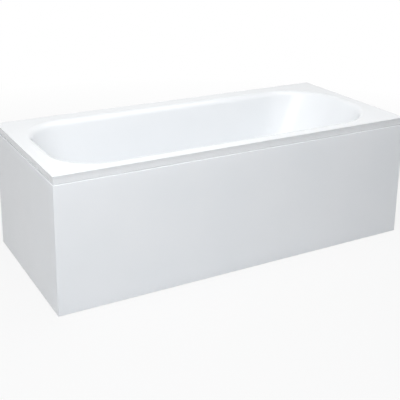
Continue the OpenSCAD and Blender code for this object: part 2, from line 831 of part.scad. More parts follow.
module plug_seal() {
    drop = 2.5;
    color(seal_black) at_drain(z_plug) translate([0, 0, -drop])
        tube(tail_r - tail_wall - seat, plug_hub_r, drop + plug_low);
}

module plug_stem() {
    stem_l = z_plug - plug_hub_h - z_stem;
    color(zinc) at_drain(z_stem) rotate_extrude()
        polygon([[0, 0], [nose_r, 0], [stem_r, nose_h], [stem_r, stem_l], [0, stem_l]]);
}

// Finger and crank on one shaft, at rest half the swing below the level position
module lift_lever() {
    arm_w = 5;
    crank_r = 5;
    crank_tip_r = 3.5;
    pin_l = 9;
    color(zinc) translate([shaft_x, y_mid, z_shaft]) rotate([0, -lever_half, 0]) {
        translate([0, crank_y - y_mid - crank_t / 2, 0]) rotate([-90, 0, 0])
            cylinder(r = shaft_r, h = y_mid - crank_y + crank_t / 2 + arm_w);
        translate([-finger_l, -arm_w / 2, -finger_r]) cube([finger_l, arm_w, 2 * finger_r]);
        translate([-finger_l, -arm_w / 2, 0]) rotate([-90, 0, 0]) cylinder(r = finger_r, h = arm_w);
        translate([0, crank_y - y_mid, 0]) {
            translate([-arm_w / 2, -crank_t / 2, -crank_l]) cube([arm_w, crank_t, crank_l]);
            for (z = [0, -crank_l]) translate([0, -crank_t / 2, z]) rotate([-90, 0, 0])
                cylinder(r = z == 0 ? crank_r : crank_tip_r, h = crank_t);
            translate([0, -pin_l, -crank_l]) rotate([-90, 0, 0]) cylinder(r = pin_r, h = pin_l);
        }
    }
}

// End of the inner wire, with an eye on the crank's pin, slotted for the pin's arc
module cable_pull() {
    pin_x = shaft_x + crank_l * sin(lever_half);
    eye_r = 5;
    eye_t = 2;
    slot_r = pin_r + 0.2;
    rise = crank_l * (1 - cos(lever_half)) / 2 + 0.1;
    wire_x0 = lug_x + 1;
    color(zinc) difference() {
        union() {
            translate([wire_x0, pull_y, z_wire]) rotate([0, 90, 0])
                cylinder(r = wire_r, h = pin_x - wire_x0 - eye_r + 1);
            translate([pin_x, pull_y - eye_t / 2, z_wire]) rotate([-90, 0, 0]) cylinder(r = eye_r, h = eye_t);
        }
        for (s = [-1, 1]) translate([pin_x, pull_y - eye_t, z_wire + s * rise])
            rotate([-90, 0, 0]) cylinder(r = slot_r, h = 2 * eye_t);
        translate([pin_x - slot_r, pull_y - eye_t, z_wire - rise]) cube([2 * slot_r, 2 * eye_t, 2 * rise]);
    }
}

// Overflow

over_screw_y = 19;
over_screw_r = 1.6;
over_plate_t = 2.5;
cover_z = 6;
cover_h = 16;
cover_wall = 2.5;

// Wheel-shaped plate: rim, hub for the spindle and a cross of spokes
module overflow_flange() {
    ring_r = 33;
    ring_w = 8;
    spoke_w = 10;
    color(chrome) at_overflow() difference() {
        union() {
            tube(ring_r, ring_r - ring_w, over_plate_t);
            cylinder(r = hub_r, h = over_plate_t);
            for (a = [0, 90]) rotate(a) translate([ring_w / 2 - ring_r, -spoke_w / 2, 0])
                cube([2 * ring_r - ring_w, spoke_w, over_plate_t]);
        }
        translate([0, 0, -1]) cylinder(r = spindle_r + fit, h = over_plate_t + 2);
        for (s = [-1, 1]) translate([0, s * over_screw_y, -1])
            cylinder(r = over_screw_r + fit, h = over_plate_t + 2);
    }
}

module overflow_screws() {
    head_r = 3;
    head_h = 1.6;
    shank_l = 26;
    color(zinc) at_overflow() for (s = [-1, 1]) translate([0, s * over_screw_y, over_plate_t]) {
        cylinder(r = head_r, h = head_h);
        translate([0, 0, -shank_l]) cylinder(r = over_screw_r, h = shank_l + eps);
    }
}

// Round cover that turns, fluted for the fingers and open round its skirt for the water
module overflow_knob() {
    top_t = cover_wall + 2;
    r_edge = 5;
    hub_wall = 3;
    hub_drop = 2;
    flutes = 12;
    flute_r = 6;
    flute_in = 1.6;
    flute_z = 4;
    color(chrome) at_overflow() translate([0, 0, cover_z]) difference() {
        union() {
            rotate_extrude() difference() {
                union() {
                    square([knob_r - r_edge, cover_h]);
                    square([knob_r, cover_h - r_edge]);
                    translate([knob_r - r_edge, cover_h - r_edge]) circle(r = r_edge);
                }
                translate([-1, -1]) square([knob_r - cover_wall + 1, cover_h - top_t + 1]);
            }
            translate([0, 0, -hub_drop]) cylinder(r = spindle_r + hub_wall, h = cover_h);
        }
        translate([0, 0, -hub_drop - 1]) cylinder(r = spindle_r + fit, h = cover_h - 2);
        for (i = [0:flutes - 1]) rotate(360 * i / flutes)
            translate([knob_r + flute_r - flute_in, 0, flute_z]) cylinder(r = flute_r, h = cover_h);
    }
}

// Spindle through the plate, with the drum that winds the cable's wire
module knob_spindle() {
    drum_h = 6;
    tip = 6;
    z0 = z_cup - cup_h + 1;
    color(zinc) at_overflow() {
        translate([0, 0, z0]) cylinder(r = spindle_r, h = cover_z + cover_h - tip - z0);
        translate([0, 0, cam_z - drum_h / 2]) cylinder(r = cam_r + 1, h = drum_h);
    }
}

module overflow_seal() {
    color(seal_black) at_overflow() translate([0, 0, z_cup])
        tube(washer_r - 1, over_hole_r + 0.5, seal_t);
}

// Cup behind the wall, with a spout for the hose and a nipple for the cable
module overflow_body() {
    rear = z_cup - cup_h;
    cup_flange_t = 3;
    pillar_r = 4.5;
    pillar_blind = 6;
    step_r = 3;
    color(moulded) at_overflow() difference() {
        union() {
            translate([0, 0, z_cup - cup_flange_t]) cylinder(r = washer_r, h = cup_flange_t);
            translate([0, 0, rear]) cylinder(r = cup_r, h = cup_h - eps);
            translate([0, 0, spout_z]) rotate([0, 90, 0]) cylinder(r = boss_r, h = spout_l);
            translate([0, 0, spout_z]) rotate([0, 90, 0])
                cylinder(r = spigot_r, h = spout_l + spigot_l);
            translate([cam_r, 0, cam_z]) rotate([90, 0, 0]) cylinder(r = nipple_r, h = nipple_l);
        }
        difference() {
            translate([0, 0, rear + cup_wall]) cylinder(r = cup_r - cup_wall, h = cup_h + 1);
            for (s = [-1, 1]) translate([0, s * over_screw_y, rear]) cylinder(r = pillar_r, h = cup_h);
            translate([0, 0, rear]) cylinder(r = spindle_r + step_r, h = cup_wall + 2);
        }
        translate([cup_r - cup_wall - 8, 0, spout_z]) rotate([0, 90, 0])
            cylinder(r = spigot_bore_r, h = spout_l + spigot_l);
        for (s = [-1, 1]) translate([0, s * over_screw_y, rear + pillar_blind])
            cylinder(r = over_screw_r + fit, h = cup_h);
        translate([0, 0, rear + 1]) cylinder(r = spindle_r + fit, h = cup_h);
        translate([cam_r, 0, cam_z]) rotate([90, 0, 0]) cylinder(r = wire_r + wire_gap, h = nipple_l + 1);
    }
}

// Ribbed hose: each rib is a crest and a root, on a curve between two straight ends
module overflow_hose() {
    rib_h = 2;
    root_r = hose_r - rib_h;
    sides = hose_sides;
    bore_steps = 24;
    function along(t) = bezier(hose_curve, t);
    function heading(t) = unit(along(min(t + 0.01, 1)) - along(max(t - 0.01, 0)));
    top_dir = unit(hose_top_in - hose_top);
    end_dir = [1, 0, 0];
    up = [0, 1, 0];
    outer = concat(
        [ring_at(hose_top, top_dir, up, hose_r, sides)],
        [for (i = [0:hose_ribs - 1], part = [0, 1]) let (t = (i + part / 2) / hose_ribs)
            ring_at(along(t), t == 0 ? top_dir : heading(t), up, part == 0 ? hose_r : root_r, sides)],
        [ring_at(hose_end_in, end_dir, up, hose_r, sides), ring_at(hose_end, end_dir, up, hose_r, sides)]);
    bore = concat(
        [ring_at(hose_end, end_dir, up, hose_bore_r, sides)],
        [for (i = [bore_steps:-1:0]) let (t = i / bore_steps)
            ring_at(along(t), t == 0 ? top_dir : t == 1 ? end_dir : heading(t), up, hose_bore_r, sides)],
        [ring_at(hose_top, top_dir, up, hose_bore_r, sides)]);
    loops = concat(outer, bore);
    n = sides;
    count = len(loops);
    color(moulded) polyhedron([for (l = loops) each l],
        [for (i = [0:count - 1], j = [0:n - 1]) each let (k = (j + 1) % n, m = (i + 1) % count)
            [[i * n + j, m * n + k, m * n + j], [i * n + j, i * n + k, m * n + k]]], convexity = 6);
}

// Grooves for the fingers round a nut of radius r, above a plain skirt
module grip_grooves(r, h, count) {
    skirt = 4;
    groove_r = 2;
    for (i = [0:count - 1]) rotate(360 * i / count) translate([r + 1, 0, skirt])
        cylinder(r = groove_r, h = h);
}

hose_nut_back = 10;
module hose_nut() {
    nut_l = 24;
    nut_wall = 4;
    difference() {
        cylinder(r = hose_r + nut_wall, h = nut_l);
        translate([0, 0, -1]) cylinder(r = hose_r + seat, h = nut_l + 2);
        grip_grooves(hose_r + nut_wall, nut_l, 10);
    }
}

module hose_nut_top() {
    color(moulded) at_overflow() translate([spout_l - hose_nut_back, 0, spout_z]) rotate([0, 90, 0])
        hose_nut();
}

module hose_nut_bottom() {
    color(moulded) translate([hose_end[0] + hose_nut_back, y_mid, z_inlet]) rotate([0, -90, 0]) hose_nut();
}

// Sheath of the cable, open at its lower end where the wire slides
module bowden_cable() {
    steps = 60;
    sides = 8;
    dt = 0.01;
    open_l = wire_travel + 3;
    lean_up = [0.3, 0.2, 1];    // a direction the cable never runs along
    color(seal_black) difference() {
        skin([for (i = [0:steps]) let (t = i / steps,
            d = t == 0 ? [0, -1, 0] : t == 1 ? [1, 0, 0]
                : unit(bezier(cable_curve, t + dt) - bezier(cable_curve, t - dt)))
            ring_at(bezier(cable_curve, t), d, lean_up, cable_r, sides)]);
        translate([lug_x - open_l, pull_y, z_wire]) rotate([0, 90, 0])
            cylinder(r = wire_r + wire_gap, h = open_l + 1);
    }
}

// Trap

trap_drop = 18;
z_bend = z_tail - trap_drop;
trap_y1 = y_mid + 2 * trap_bend_r;
z_outlet = z_bend + trap_bend_r;
socket_y = trap_y1 + trap_bend_r;
socket_l = 34;
socket_step = 12;
sleeve_wall = 2.5;
outlet_back = 75;
outlet_end = y_back - outlet_back;
collar_h = 4;

module trap_nut() {
    lip = 3;
    nut_h = 18;
    nut_r = body_tail_r + 7;
    color(moulded) at_drain(z_tail - collar_h - lip) difference() {
        cylinder(r = nut_r, h = nut_h);
        translate([0, 0, -1]) cylinder(r = trap_r + seat, h = lip + 2);
        translate([0, 0, lip]) cylinder(r = body_tail_r + sleeve_wall + 0.5, h = collar_h + 0.5);
        translate([0, 0, lip]) cylinder(r = body_tail_r + fit, h = nut_h);
        grip_grooves(nut_r, nut_h, 12);
    }
}

module bend(angle) {
    rotate_extrude(angle = angle) translate([trap_bend_r, 0]) difference() {
        circle(r = trap_r);
        circle(r = trap_r - trap_wall);
    }
}

// Inlet collar, half turn, quarter turn and socket, in the plane of the outlet
module trap_bend() {
    bore = trap_r - trap_wall;
    sleeve_r = trap_r + sleeve_wall;
    color(moulded) {
        at_drain(z_bend) tube(trap_r, bore, z_tail - z_bend);
        at_drain(z_tail - collar_h) tube(body_tail_r + sleeve_wall, trap_r - 1, collar_h);
        translate([drain_x, y_mid + trap_bend_r, z_bend]) rotate([0, -90, 0]) rotate(90) bend(180);
        translate([drain_x, socket_y, z_bend]) rotate([0, -90, 0]) rotate(-90) bend(90);
        translate([drain_x, socket_y, z_outlet]) rotate([-90, 0, 0]) {
            tube(sleeve_r, bore, socket_step);
            translate([0, 0, socket_step]) tube(sleeve_r, outlet_r + fit, socket_l - socket_step);
        }
    }
}

module outlet_nut() {
    nut_r = trap_r + 7;
    nut_l = 22;
    grip_l = 12;
    color(moulded) translate([drain_x, socket_y + socket_l - grip_l, z_outlet]) rotate([-90, 0, 0])
        difference() {
            cylinder(r = nut_r, h = nut_l);
            translate([0, 0, -1]) cylinder(r = trap_r + sleeve_wall + fit, h = grip_l + 1);
            cylinder(r = outlet_r + seat, h = nut_l + 1);
            grip_grooves(nut_r, nut_l, 12);
        }
}

// Outlet with a stop bead round it, beyond which the next pipe's socket goes on
module outlet_pipe() {
    pipe_l = outlet_end - socket_y - socket_step - seat;
    pipe_wall = 2;
    free_l = 82;
    bead = 1;
    bead_l = 4;
    bevel = 2;
    color(moulded) translate([drain_x, outlet_end - pipe_l, z_outlet]) rotate([-90, 0, 0])
        rotate_extrude() polygon([[outlet_r - pipe_wall, 0], [outlet_r, 0],
            [outlet_r, pipe_l - free_l - bead_l], [outlet_r + bead, pipe_l - free_l - bead_l + bead],
            [outlet_r + bead, pipe_l - free_l], [outlet_r, pipe_l - free_l],
            [outlet_r, pipe_l - bevel], [outlet_r - bevel / 2, pipe_l], [outlet_r - pipe_wall, pipe_l]]);
}

tub_shell();
base_board();
rim_batten_front();
rim_batten_back();
rim_batten_foot_end();
rim_batten_head_end();
leg_channel_foot_end();
leg_channel_head_end();
channel_screws();
foot_lock_nuts();
foot_stud_front_left();
foot_stud_front_right();
foot_stud_back_left();
foot_stud_back_right();
foot_pad_front_left();
foot_pad_front_right();
foot_pad_back_left();
foot_pad_back_right();
front_panel();
end_panel();
front_panel_clips();
end_panel_clips();
clip_screws();
panel_bracket_left();
panel_bracket_right();
panel_bracket_end();
bracket_bolts();
wall_bracket_left();
wall_bracket_right();
wall_bracket_head_end();
drain_flange();
drain_gasket();
drain_washer();
drain_body();
plug_cap();
plug_seal();
plug_stem();
lift_lever();
cable_pull();
overflow_flange();
overflow_screws();
overflow_knob();
knob_spindle();
overflow_seal();
overflow_body();
overflow_hose();
hose_nut_top();
hose_nut_bottom();
bowden_cable();
trap_nut();
trap_bend();
outlet_nut();
outlet_pipe();
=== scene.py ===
import bmesh
import bpy
import math
from mathutils import Matrix, Quaternion, Vector, noise


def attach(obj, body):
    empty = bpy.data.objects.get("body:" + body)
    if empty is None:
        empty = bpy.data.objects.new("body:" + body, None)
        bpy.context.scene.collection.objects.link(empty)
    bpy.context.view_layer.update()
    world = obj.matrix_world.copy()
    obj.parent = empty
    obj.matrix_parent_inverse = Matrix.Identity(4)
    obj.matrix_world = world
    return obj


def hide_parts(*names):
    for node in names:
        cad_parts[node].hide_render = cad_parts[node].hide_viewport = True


# Panelled acrylic bathtub. Lengths are in metres: +X runs from the drain to the back rest,
# -Y is the panelled front, +Y the wall, and the floor is at Z = 0.

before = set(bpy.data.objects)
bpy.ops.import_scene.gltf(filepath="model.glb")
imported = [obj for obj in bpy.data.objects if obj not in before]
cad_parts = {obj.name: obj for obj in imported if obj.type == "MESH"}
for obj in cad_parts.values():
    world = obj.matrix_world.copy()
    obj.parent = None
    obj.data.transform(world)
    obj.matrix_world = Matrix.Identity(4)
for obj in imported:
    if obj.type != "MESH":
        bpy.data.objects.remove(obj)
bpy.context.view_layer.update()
mm = 0.001
over = 0.002     # how far a cutter stands out of what it cuts
print("frame loaded:", len(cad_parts), "nodes")


# numbers and places

def mix(a, b, t):
    return a + (b - a) * t


def sinD(angle):
    return math.sin(math.radians(angle))


def cosD(angle):
    return math.cos(math.radians(angle))


def tanD(angle):
    return math.tan(math.radians(angle))


def turned(axis, angle):
    return Matrix.Rotation(math.radians(angle), 4, axis)


def at(x, y, z, turn=Matrix()):
    return Matrix.Translation((x, y, z)) @ turn


# places for outlines: (y, z) run along x, (x, z) run along y, and from the front to the left end
lengthways = Matrix(((0, 0, 1, 0), (1, 0, 0, 0), (0, 1, 0, 0), (0, 0, 0, 1)))
crossways = Matrix(((1, 0, 0, 0), (0, 0, 1, 0), (0, 1, 0, 0), (0, 0, 0, 1)))
swap = Matrix(((0, 1, 0, 0), (1, 0, 0, 0), (0, 0, 1, 0), (0, 0, 0, 1)))


def inCamel(key):
    words = key.title().replace("_", "")
    return words[0].lower() + words[1:]


def putInScene(thing):
    bpy.context.scene.collection.objects.link(thing)


# nodes; a socket's id_data is the tree it belongs to

def toLinear(hexColour):
    channels = [int(hexColour[i:i + 2], 16) / 255 for i in (1, 3, 5)]
    return [c / 12.92 if c <= 0.04045 else ((c + 0.055) / 1.055) ** 2.4 for c in channels] + [1.0]


def addNode(tree, kind, inputs=None, **settings):
    node = tree.nodes.new(kind)
    for name, value in settings.items():
        setattr(node, name, value)
    for name, value in (inputs or {}).items():
        if isinstance(value, bpy.types.NodeSocket):
            tree.links.new(value, node.inputs[name])
        else:
            node.inputs[name].default_value = value
    return node


def noiseOf(where, scale, detail, output="Fac", **more):
    return addNode(where.id_data, "ShaderNodeTexNoise",
                   {"Vector": where, "Scale": scale, "Detail": detail, **more}).outputs[output]


def spread(value, fromLow, fromHigh, low=0.0, high=1.0):
    sockets = {"Value": value, "From Min": fromLow, "From Max": fromHigh, "To Min": low, "To Max": high}
    return addNode(value.id_data, "ShaderNodeMapRange", sockets).outputs[0]


def calc(operation, a, b):
    return addNode(a.id_data, "ShaderNodeMath", {0: a, 1: b}, operation=operation).outputs[0]


def blend(share, first, second):
    a, b = [toLinear(c) if isinstance(c, str) else c for c in (first, second)]
    return addNode(share.id_data, "ShaderNodeMix", {"Factor": share, 6: a, 7: b}, data_type="RGBA").outputs[2]


def pushed(where, by, share):
    return addNode(where.id_data, "ShaderNodeMix", {"Factor": share, 4: where, 5: by},
                   data_type="VECTOR").outputs[1]


def stretched(where, scale, rotation=(0, 0, 0), kind="POINT"):
    return addNode(where.id_data, "ShaderNodeMapping", {"Vector": where, "Rotation": rotation, "Scale": scale},
                   vector_type=kind).outputs[0]


def ramp(value, *stops):
    node = addNode(value.id_data, "ShaderNodeValToRGB", {"Fac": value})
    elements = node.color_ramp.elements
    while len(elements) < len(stops):
        elements.new(0.5)
    for element, (place, colour) in zip(elements, stops):
        element.position = place
        element.color = toLinear(colour)
    return node.outputs["Color"]


def setSocket(shader, name, source):
    shader.id_data.links.new(source, shader.inputs[name])


def setBump(shader, *layers):
    # layers of (height, distance, strength), each on top of the one before
    below = {}
    for height, distance, strength in layers:
        bump = addNode(shader.id_data, "ShaderNodeBump", {"Height": height, "Distance": distance,
                                                          "Strength": strength, **below})
        below = {"Normal": bump.outputs["Normal"]}
    setSocket(shader, "Normal", below["Normal"])


# meshes

def newMesh(points, faces, place=Matrix()):
    mesh = bpy.data.meshes.new("piece")
    mesh.from_pydata([tuple(place @ Vector(p)) for p in points], [], faces)
    mesh.validate()
    shape = bmesh.new()
    shape.from_mesh(mesh)
    bmesh.ops.remove_doubles(shape, verts=shape.verts, dist=0.001 * mm)     # rings that end on an axis
    loose = [edge for edge in shape.edges if not edge.link_faces]
    bmesh.ops.delete(shape, geom=loose, context="EDGES")
    bmesh.ops.recalc_face_normals(shape, faces=shape.faces)
    shape.to_mesh(mesh)
    shape.free()
    return bpy.data.objects.new("piece", mesh)


def skinFaces(ringCount, n, closed=False):
    # rings of n points joined into one skin, either closed round on itself or capped at both ends
    faces = []
    for i in range(ringCount if closed else ringCount - 1):
        a, b = i * n, ((i + 1) % ringCount) * n
        faces += [[a + j, b + j, b + (j + 1) % n, a + (j + 1) % n] for j in range(n)]
    if not closed:
        faces += [list(range(n)), [(ringCount - 1) * n + j for j in range(n - 1, -1, -1)]]
    return faces


def cutOut(piece, cutters, operation="DIFFERENCE"):
    # the shapes are in the scene only while the boolean runs
    for thing in [piece] + cutters:
        putInScene(thing)
    for cutter in cutters:
        cut = piece.modifiers.new("cut", "BOOLEAN")
        cut.object, cut.operation, cut.solver = cutter, operation, "EXACT"
    bpy.context.view_layer.update()
    result = bpy.data.meshes.new_from_object(piece.evaluated_get(bpy.context.evaluated_depsgraph_get()))
    piece.modifiers.clear()
    piece.data = result
    bpy.context.scene.collection.objects.unlink(piece)
    for cutter in cutters:
        bpy.data.objects.remove(cutter)
    return piece


def joined(parts, places=(Matrix(),)):
    # one piece from several closed shapes, repeated at every place
    points, faces = [], []
    for place in places:
        for part in parts:
            base = len(points)
            points += [tuple(place @ v.co) for v in part.data.vertices]
            faces += [[base + i for i in polygon.vertices] for polygon in part.data.polygons]
    for part in parts:
        bpy.data.objects.remove(part)
    return newMesh(points, faces)


def inMm(*pairs):
    return [(a * mm, b * mm) for a, b in pairs]


def rect(x0, y0, x1, y1):
    return [(x0, y0), (x1, y0), (x1, y1), (x0, y1)]


def disc(radius, step, y=0.0):
    return [(radius * cosD(a), y + radius * sinD(a)) for a in range(0, 360, step)]


def stadium(half, radius, steps=10):
    # a slot's outline along its second axis
    return [(radius * cosD(a), s * half + radius * sinD(a)) for s, first in ((1, 0), (-1, 180))
            for a in [first + 180 * k / steps for k in range(steps + 1)]]


def signedArea(outline):
    return sum(a[0] * b[1] - b[0] * a[1] for a, b in zip(outline, outline[1:] + outline[:1])) / 2


def withNeighbours(corners):
    return [[Vector(c) for c in (corner, corners[i - 1], corners[(i + 1) % len(corners)])]
            for i, corner in enumerate(corners)]


def rounded(corners, radius, steps=4):
    # a closed outline with an arc at each corner; radius is one value or one per corner
    outline = []
    for i, (p, a, b) in enumerate(withNeighbours(corners)):
        u, v = (a - p).normalized(), (b - p).normalized()
        r = radius[i] if isinstance(radius, (list, tuple)) else radius
        half = u.angle(v) / 2
        reach = min(r / math.tan(half), 0.48 * (a - p).length, 0.48 * (b - p).length)
        r = reach * math.tan(half)
        centre = p + (u + v).normalized() * (r / math.sin(half))
        start, end = p + u * reach - centre, p + v * reach - centre
        outline += [tuple(centre + r * start.slerp(end, k / steps, start).normalized())
                    for k in range(steps + 1)]
    return outline


def shrunk(outline, distance):
    side = 1 if signedArea(outline) > 0 else -1
    inner = []
    for p, a, b in withNeighbours(outline):
        d, e = (p - a).normalized(), (b - p).normalized()
        n = Vector((-d.y - e.y, d.x + e.x)).normalized()
        inner.append(tuple(p + n * side * distance / max(math.cos(d.angle(e, 0) / 2), 0.5)))
    return inner


def extruded(outline, low, high, place=Matrix(), edge=0.0003, between=()):
    # both ends have a small rounding, drawn as two bevels
    thin = [shrunk(outline, edge), shrunk(outline, 0.3 * edge)]
    levels = [(thin[0], low), (thin[1], low + 0.3 * edge), (outline, low + edge)]
    levels += [(outline, z) for z in between]
    levels += [(outline, high - edge), (thin[1], high - 0.3 * edge), (thin[0], high)]
    points = [(x, y, z) for ring, z in levels for x, y in ring]
    return newMesh(points, skinFaces(len(levels), len(outline)), place)


def lathe(profile, place=Matrix(), steps=96, shape=None, closed=True):
    # profile goes round a section as (radius, height); shape(angle, radius, height) can change a radius
    points = []
    for r, z in profile:
        for j in range(steps):
            angle = 2 * math.pi * j / steps
            reach = shape(angle, r, z) if shape else r
            points.append((reach * math.cos(angle), reach * math.sin(angle), z))
    return newMesh(points, skinFaces(len(profile), steps, closed), place)


def latheRounded(corners, radii, place=Matrix(), steps=96, cornerSteps=4):
    return lathe(rounded(corners, radii, cornerSteps), place, steps)


def rod(radius, z0, z1, place=Matrix(), steps=96):
    points = [(radius * math.cos(2 * math.pi * j / steps), radius * math.sin(2 * math.pi * j / steps), z)
              for z in (z0, z1) for j in range(steps)]
    return newMesh(points, [face[::-1] for face in skinFaces(2, steps)], place)


def swept(path, radii, bore, sides, up):
    rings = []
    for i, p in enumerate(path):
        ahead = (Vector(path[min(i + 1, len(path) - 1)]) - Vector(path[max(i - 1, 0)])).normalized()
        u = ahead.cross(Vector(up)).normalized()
        rings.append((Vector(p), u, ahead.cross(u)))
    sections = list(zip(rings, radii)) + list(zip(rings[::-1], bore[::-1]))
    points = [tuple(p + r * (math.cos(2 * math.pi * j / sides) * u + math.sin(2 * math.pi * j / sides) * v))
              for (p, u, v), r in sections for j in range(sides)]
    return newMesh(points, skinFaces(len(sections), sides, True))


def hexBody(corner, height, bore, place=Matrix()):
    # hexagon whose corners are turned down at 30 degrees, which leaves an arc on every flat
    flat, slope, lead = corner * cosD(30), tanD(30), 0.0004
    face = 0.95 * flat
    chamfer = (corner - face) * slope

    def shape(angle, r, z):
        hexagon = flat / cosD(math.degrees(angle) % 60 - 30)
        return r if r < corner else min(hexagon, face + min(z, height - z) / slope)

    ends = [chamfer * k / 5 for k in range(6)]
    low = [(bore, lead), (bore + lead, 0.0)] if bore else [(0.0, 0.0)]
    high = [(r, height - z) for r, z in low[::-1]]
    profile = low + [(corner, z) for z in ends] + [(corner, height - z) for z in ends[::-1]] + high
    return lathe(profile, place, 72, shape)


def threaded(radius, length, pitch, place=Matrix(), steps=20, chamfer=0.0012):
    # V thread on a helix, 0.61 of its pitch deep, run out under a chamfer at both ends
    def flank(angle, r, z):
        side = abs(2 * ((z / pitch - angle / (2 * math.pi)) % 1) - 1)
        return min(r - 0.61 * pitch * (1 - min(1, 1.18 * side)), r - max(0, chamfer - min(z, length - z)))

    count = int(length / pitch * 6)
    return lathe([(radius, length * i / count) for i in range(count + 1)], place, steps, flank, False)


def panHead(radius, height, recess, steps=40):
    # domed towards -z, with a cross recess
    dome = [(radius * sinD(a), 0.7 * height * (1 - cosD(a))) for a in (15, 30, 45, 60, 75, 88)]
    rim = [(radius, 0.94 * height), (0.97 * radius, height), (0.0, height)]
    head = lathe([(0.0, 0.0)] + dome + rim, steps=steps)
    return cutOut(head, [extruded(rect(-w, -d, w, d), -0.001, 0.55 * height, edge=0.00005)
                         for w, d in ((recess / 2, recess / 7), (recess / 7, recess / 2))])


def screwsAt(places, head, shank, sink, chamfer=0.0008):
    # heads towards -z; the shank starts inside the head
    return joined([panHead(*head), threaded(*shank, at(0, 0, sink), 12, chamfer)], places)


def fromNearest(angle, count):
    # the angle from the nearest of so many even steps round the circle
    return ((angle / (2 * math.pi) * count + 0.5) % 1 - 0.5) * 2 * math.pi / count


def gripNut(radius, length, inside, place, count, skirt=0.004, groove=0.002):
    # finger grooves above a plain skirt; inside lists the bore from the far end back
    lead = 0.0008
    outside = [(radius - lead, 0.0), (radius - 0.0002, 0.0003), (radius, 0.001), (radius, 0.7 * skirt),
               (radius, skirt), (radius, skirt + lead), (radius, skirt + 0.002), (radius, length / 2),
               (radius, length - 0.0014), (radius - 0.0003, length - 0.0005), (radius - 0.0011, length)]

    def shape(angle, r, z):
        offset = fromNearest(angle, count) * radius
        if z <= skirt or r < radius - 0.0012 or abs(offset) >= groove:
            return r
        depth = math.sqrt(groove ** 2 - offset ** 2) - groove / 2
        return r - max(depth, 0) * min(1, (z - skirt) / lead)

    return lathe(outside + inside, place, count * 18, shape)


def bezier(points, u):
    a, b, c, d = points
    return a * (1 - u) ** 3 + b * 3 * u * (1 - u) ** 2 + c * 3 * u * u * (1 - u) + d * u ** 3


def finishPiece(piece, nodeName, finish, sharpAngle=35, body="bath"):
    slotName, material = finishes[finish]
    piece.name = piece.data.name = inCamel(nodeName.replace("rim_", ""))
    putInScene(piece)
    if len(piece.data.materials) == 0:
        piece.data.materials.append(material)
    piece.data.shade_smooth()
    piece.data.set_sharp_from_angle(angle=math.radians(sharpAngle))
    if sharpAngle < 40:     # bent sheets and bevelled blocks: flat faces stay flat beside their rounded edges
        piece.modifiers.new("flatFaces", "WEIGHTED_NORMAL").keep_sharp = True
    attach(piece, body)
    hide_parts(nodeName)


# camera, from the lines of the bath's own edges

view = dict(place=(-1.7018, -2.9556, 1.5915), yaw=29.55, down=16.60, roll=0.78, lens=70.8, sensor=36,
            shiftY=-0.2, near=0.05, far=60)
camera = bpy.data.objects.new("camera", bpy.data.cameras.new("camera"))
camera.data.sensor_width, camera.data.lens, camera.data.shift_y = view["sensor"], view["lens"], view["shiftY"]
camera.data.clip_start, camera.data.clip_end = view["near"], view["far"]
camera.location = view["place"]
camera.rotation_mode = "QUATERNION"
yaw, down = view["yaw"], view["down"]
forward = Vector((sinD(yaw) * cosD(down), cosD(yaw) * cosD(down), -sinD(down)))
camera.rotation_quaternion = (forward.to_track_quat("-Z", "Y")
                              @ Quaternion((0, 0, 1), math.radians(view["roll"])))
putInScene(camera)
bpy.context.scene.camera = camera

# floor, world and lamps

stage = dict(floorSize=30, floorZ=-0.0006, floorColour="#CFD0D1", floorShow=0.86, whiteFrom=1.3, whiteTo=3.2,
             worldLight=0.28)
floorCorners = [(x, y, stage["floorZ"]) for x, y in rect(*[s * stage["floorSize"] for s in (-1, -1, 1, 1)])]
floor = newMesh(floorCorners, [(0, 1, 2, 3)])
floor.name = "studioFloor"
putInScene(floor)


def seenDirectly(tree):
    # camera, mirror and glass rays see the white background itself
    rays = addNode(tree, "ShaderNodeLightPath").outputs
    return calc("MAXIMUM", calc("MAXIMUM", rays["Is Camera Ray"], rays["Is Glossy Ray"]),
                rays["Is Transmission Ray"])


floorMaterial = bpy.data.materials.new("paleStudioFloor")
floorMaterial.use_nodes = True
floorTree = floorMaterial.node_tree
floorTree.nodes.clear()
matt = addNode(floorTree, "ShaderNodeBsdfDiffuse", {"Color": toLinear(stage["floorColour"])})
white = addNode(floorTree, "ShaderNodeEmission", {"Color": (1, 1, 1, 1), "Strength": 1.0})
fromBath = addNode(floorTree, "ShaderNodeVectorMath",
                   {0: addNode(floorTree, "ShaderNodeTexCoord").outputs["Object"]}, operation="LENGTH")
whiter = spread(fromBath.outputs["Value"], stage["whiteFrom"], stage["whiteTo"], stage["floorShow"])
share = calc("MULTIPLY", seenDirectly(floorTree), whiter)
blended = addNode(floorTree, "ShaderNodeMixShader", {0: share, 1: matt.outputs[0], 2: white.outputs[0]})
addNode(floorTree, "ShaderNodeOutputMaterial", {"Surface": blended.outputs[0]})
floor.data.materials.append(floorMaterial)

world = bpy.data.worlds.new("studioWorld")
bpy.context.scene.world = world
world.use_nodes = True
worldTree = world.node_tree
worldTree.nodes.clear()
soft, plain = [addNode(worldTree, "ShaderNodeBackground", {"Color": (1, 1, 1, 1), "Strength": strength})
               for strength in (stage["worldLight"], 1.0)]
either = addNode(worldTree, "ShaderNodeMixShader", {0: seenDirectly(worldTree), 1: soft.outputs[0],
                                                    2: plain.outputs[0]})
addNode(worldTree, "ShaderNodeOutputWorld", {"Surface": either.outputs[0]})

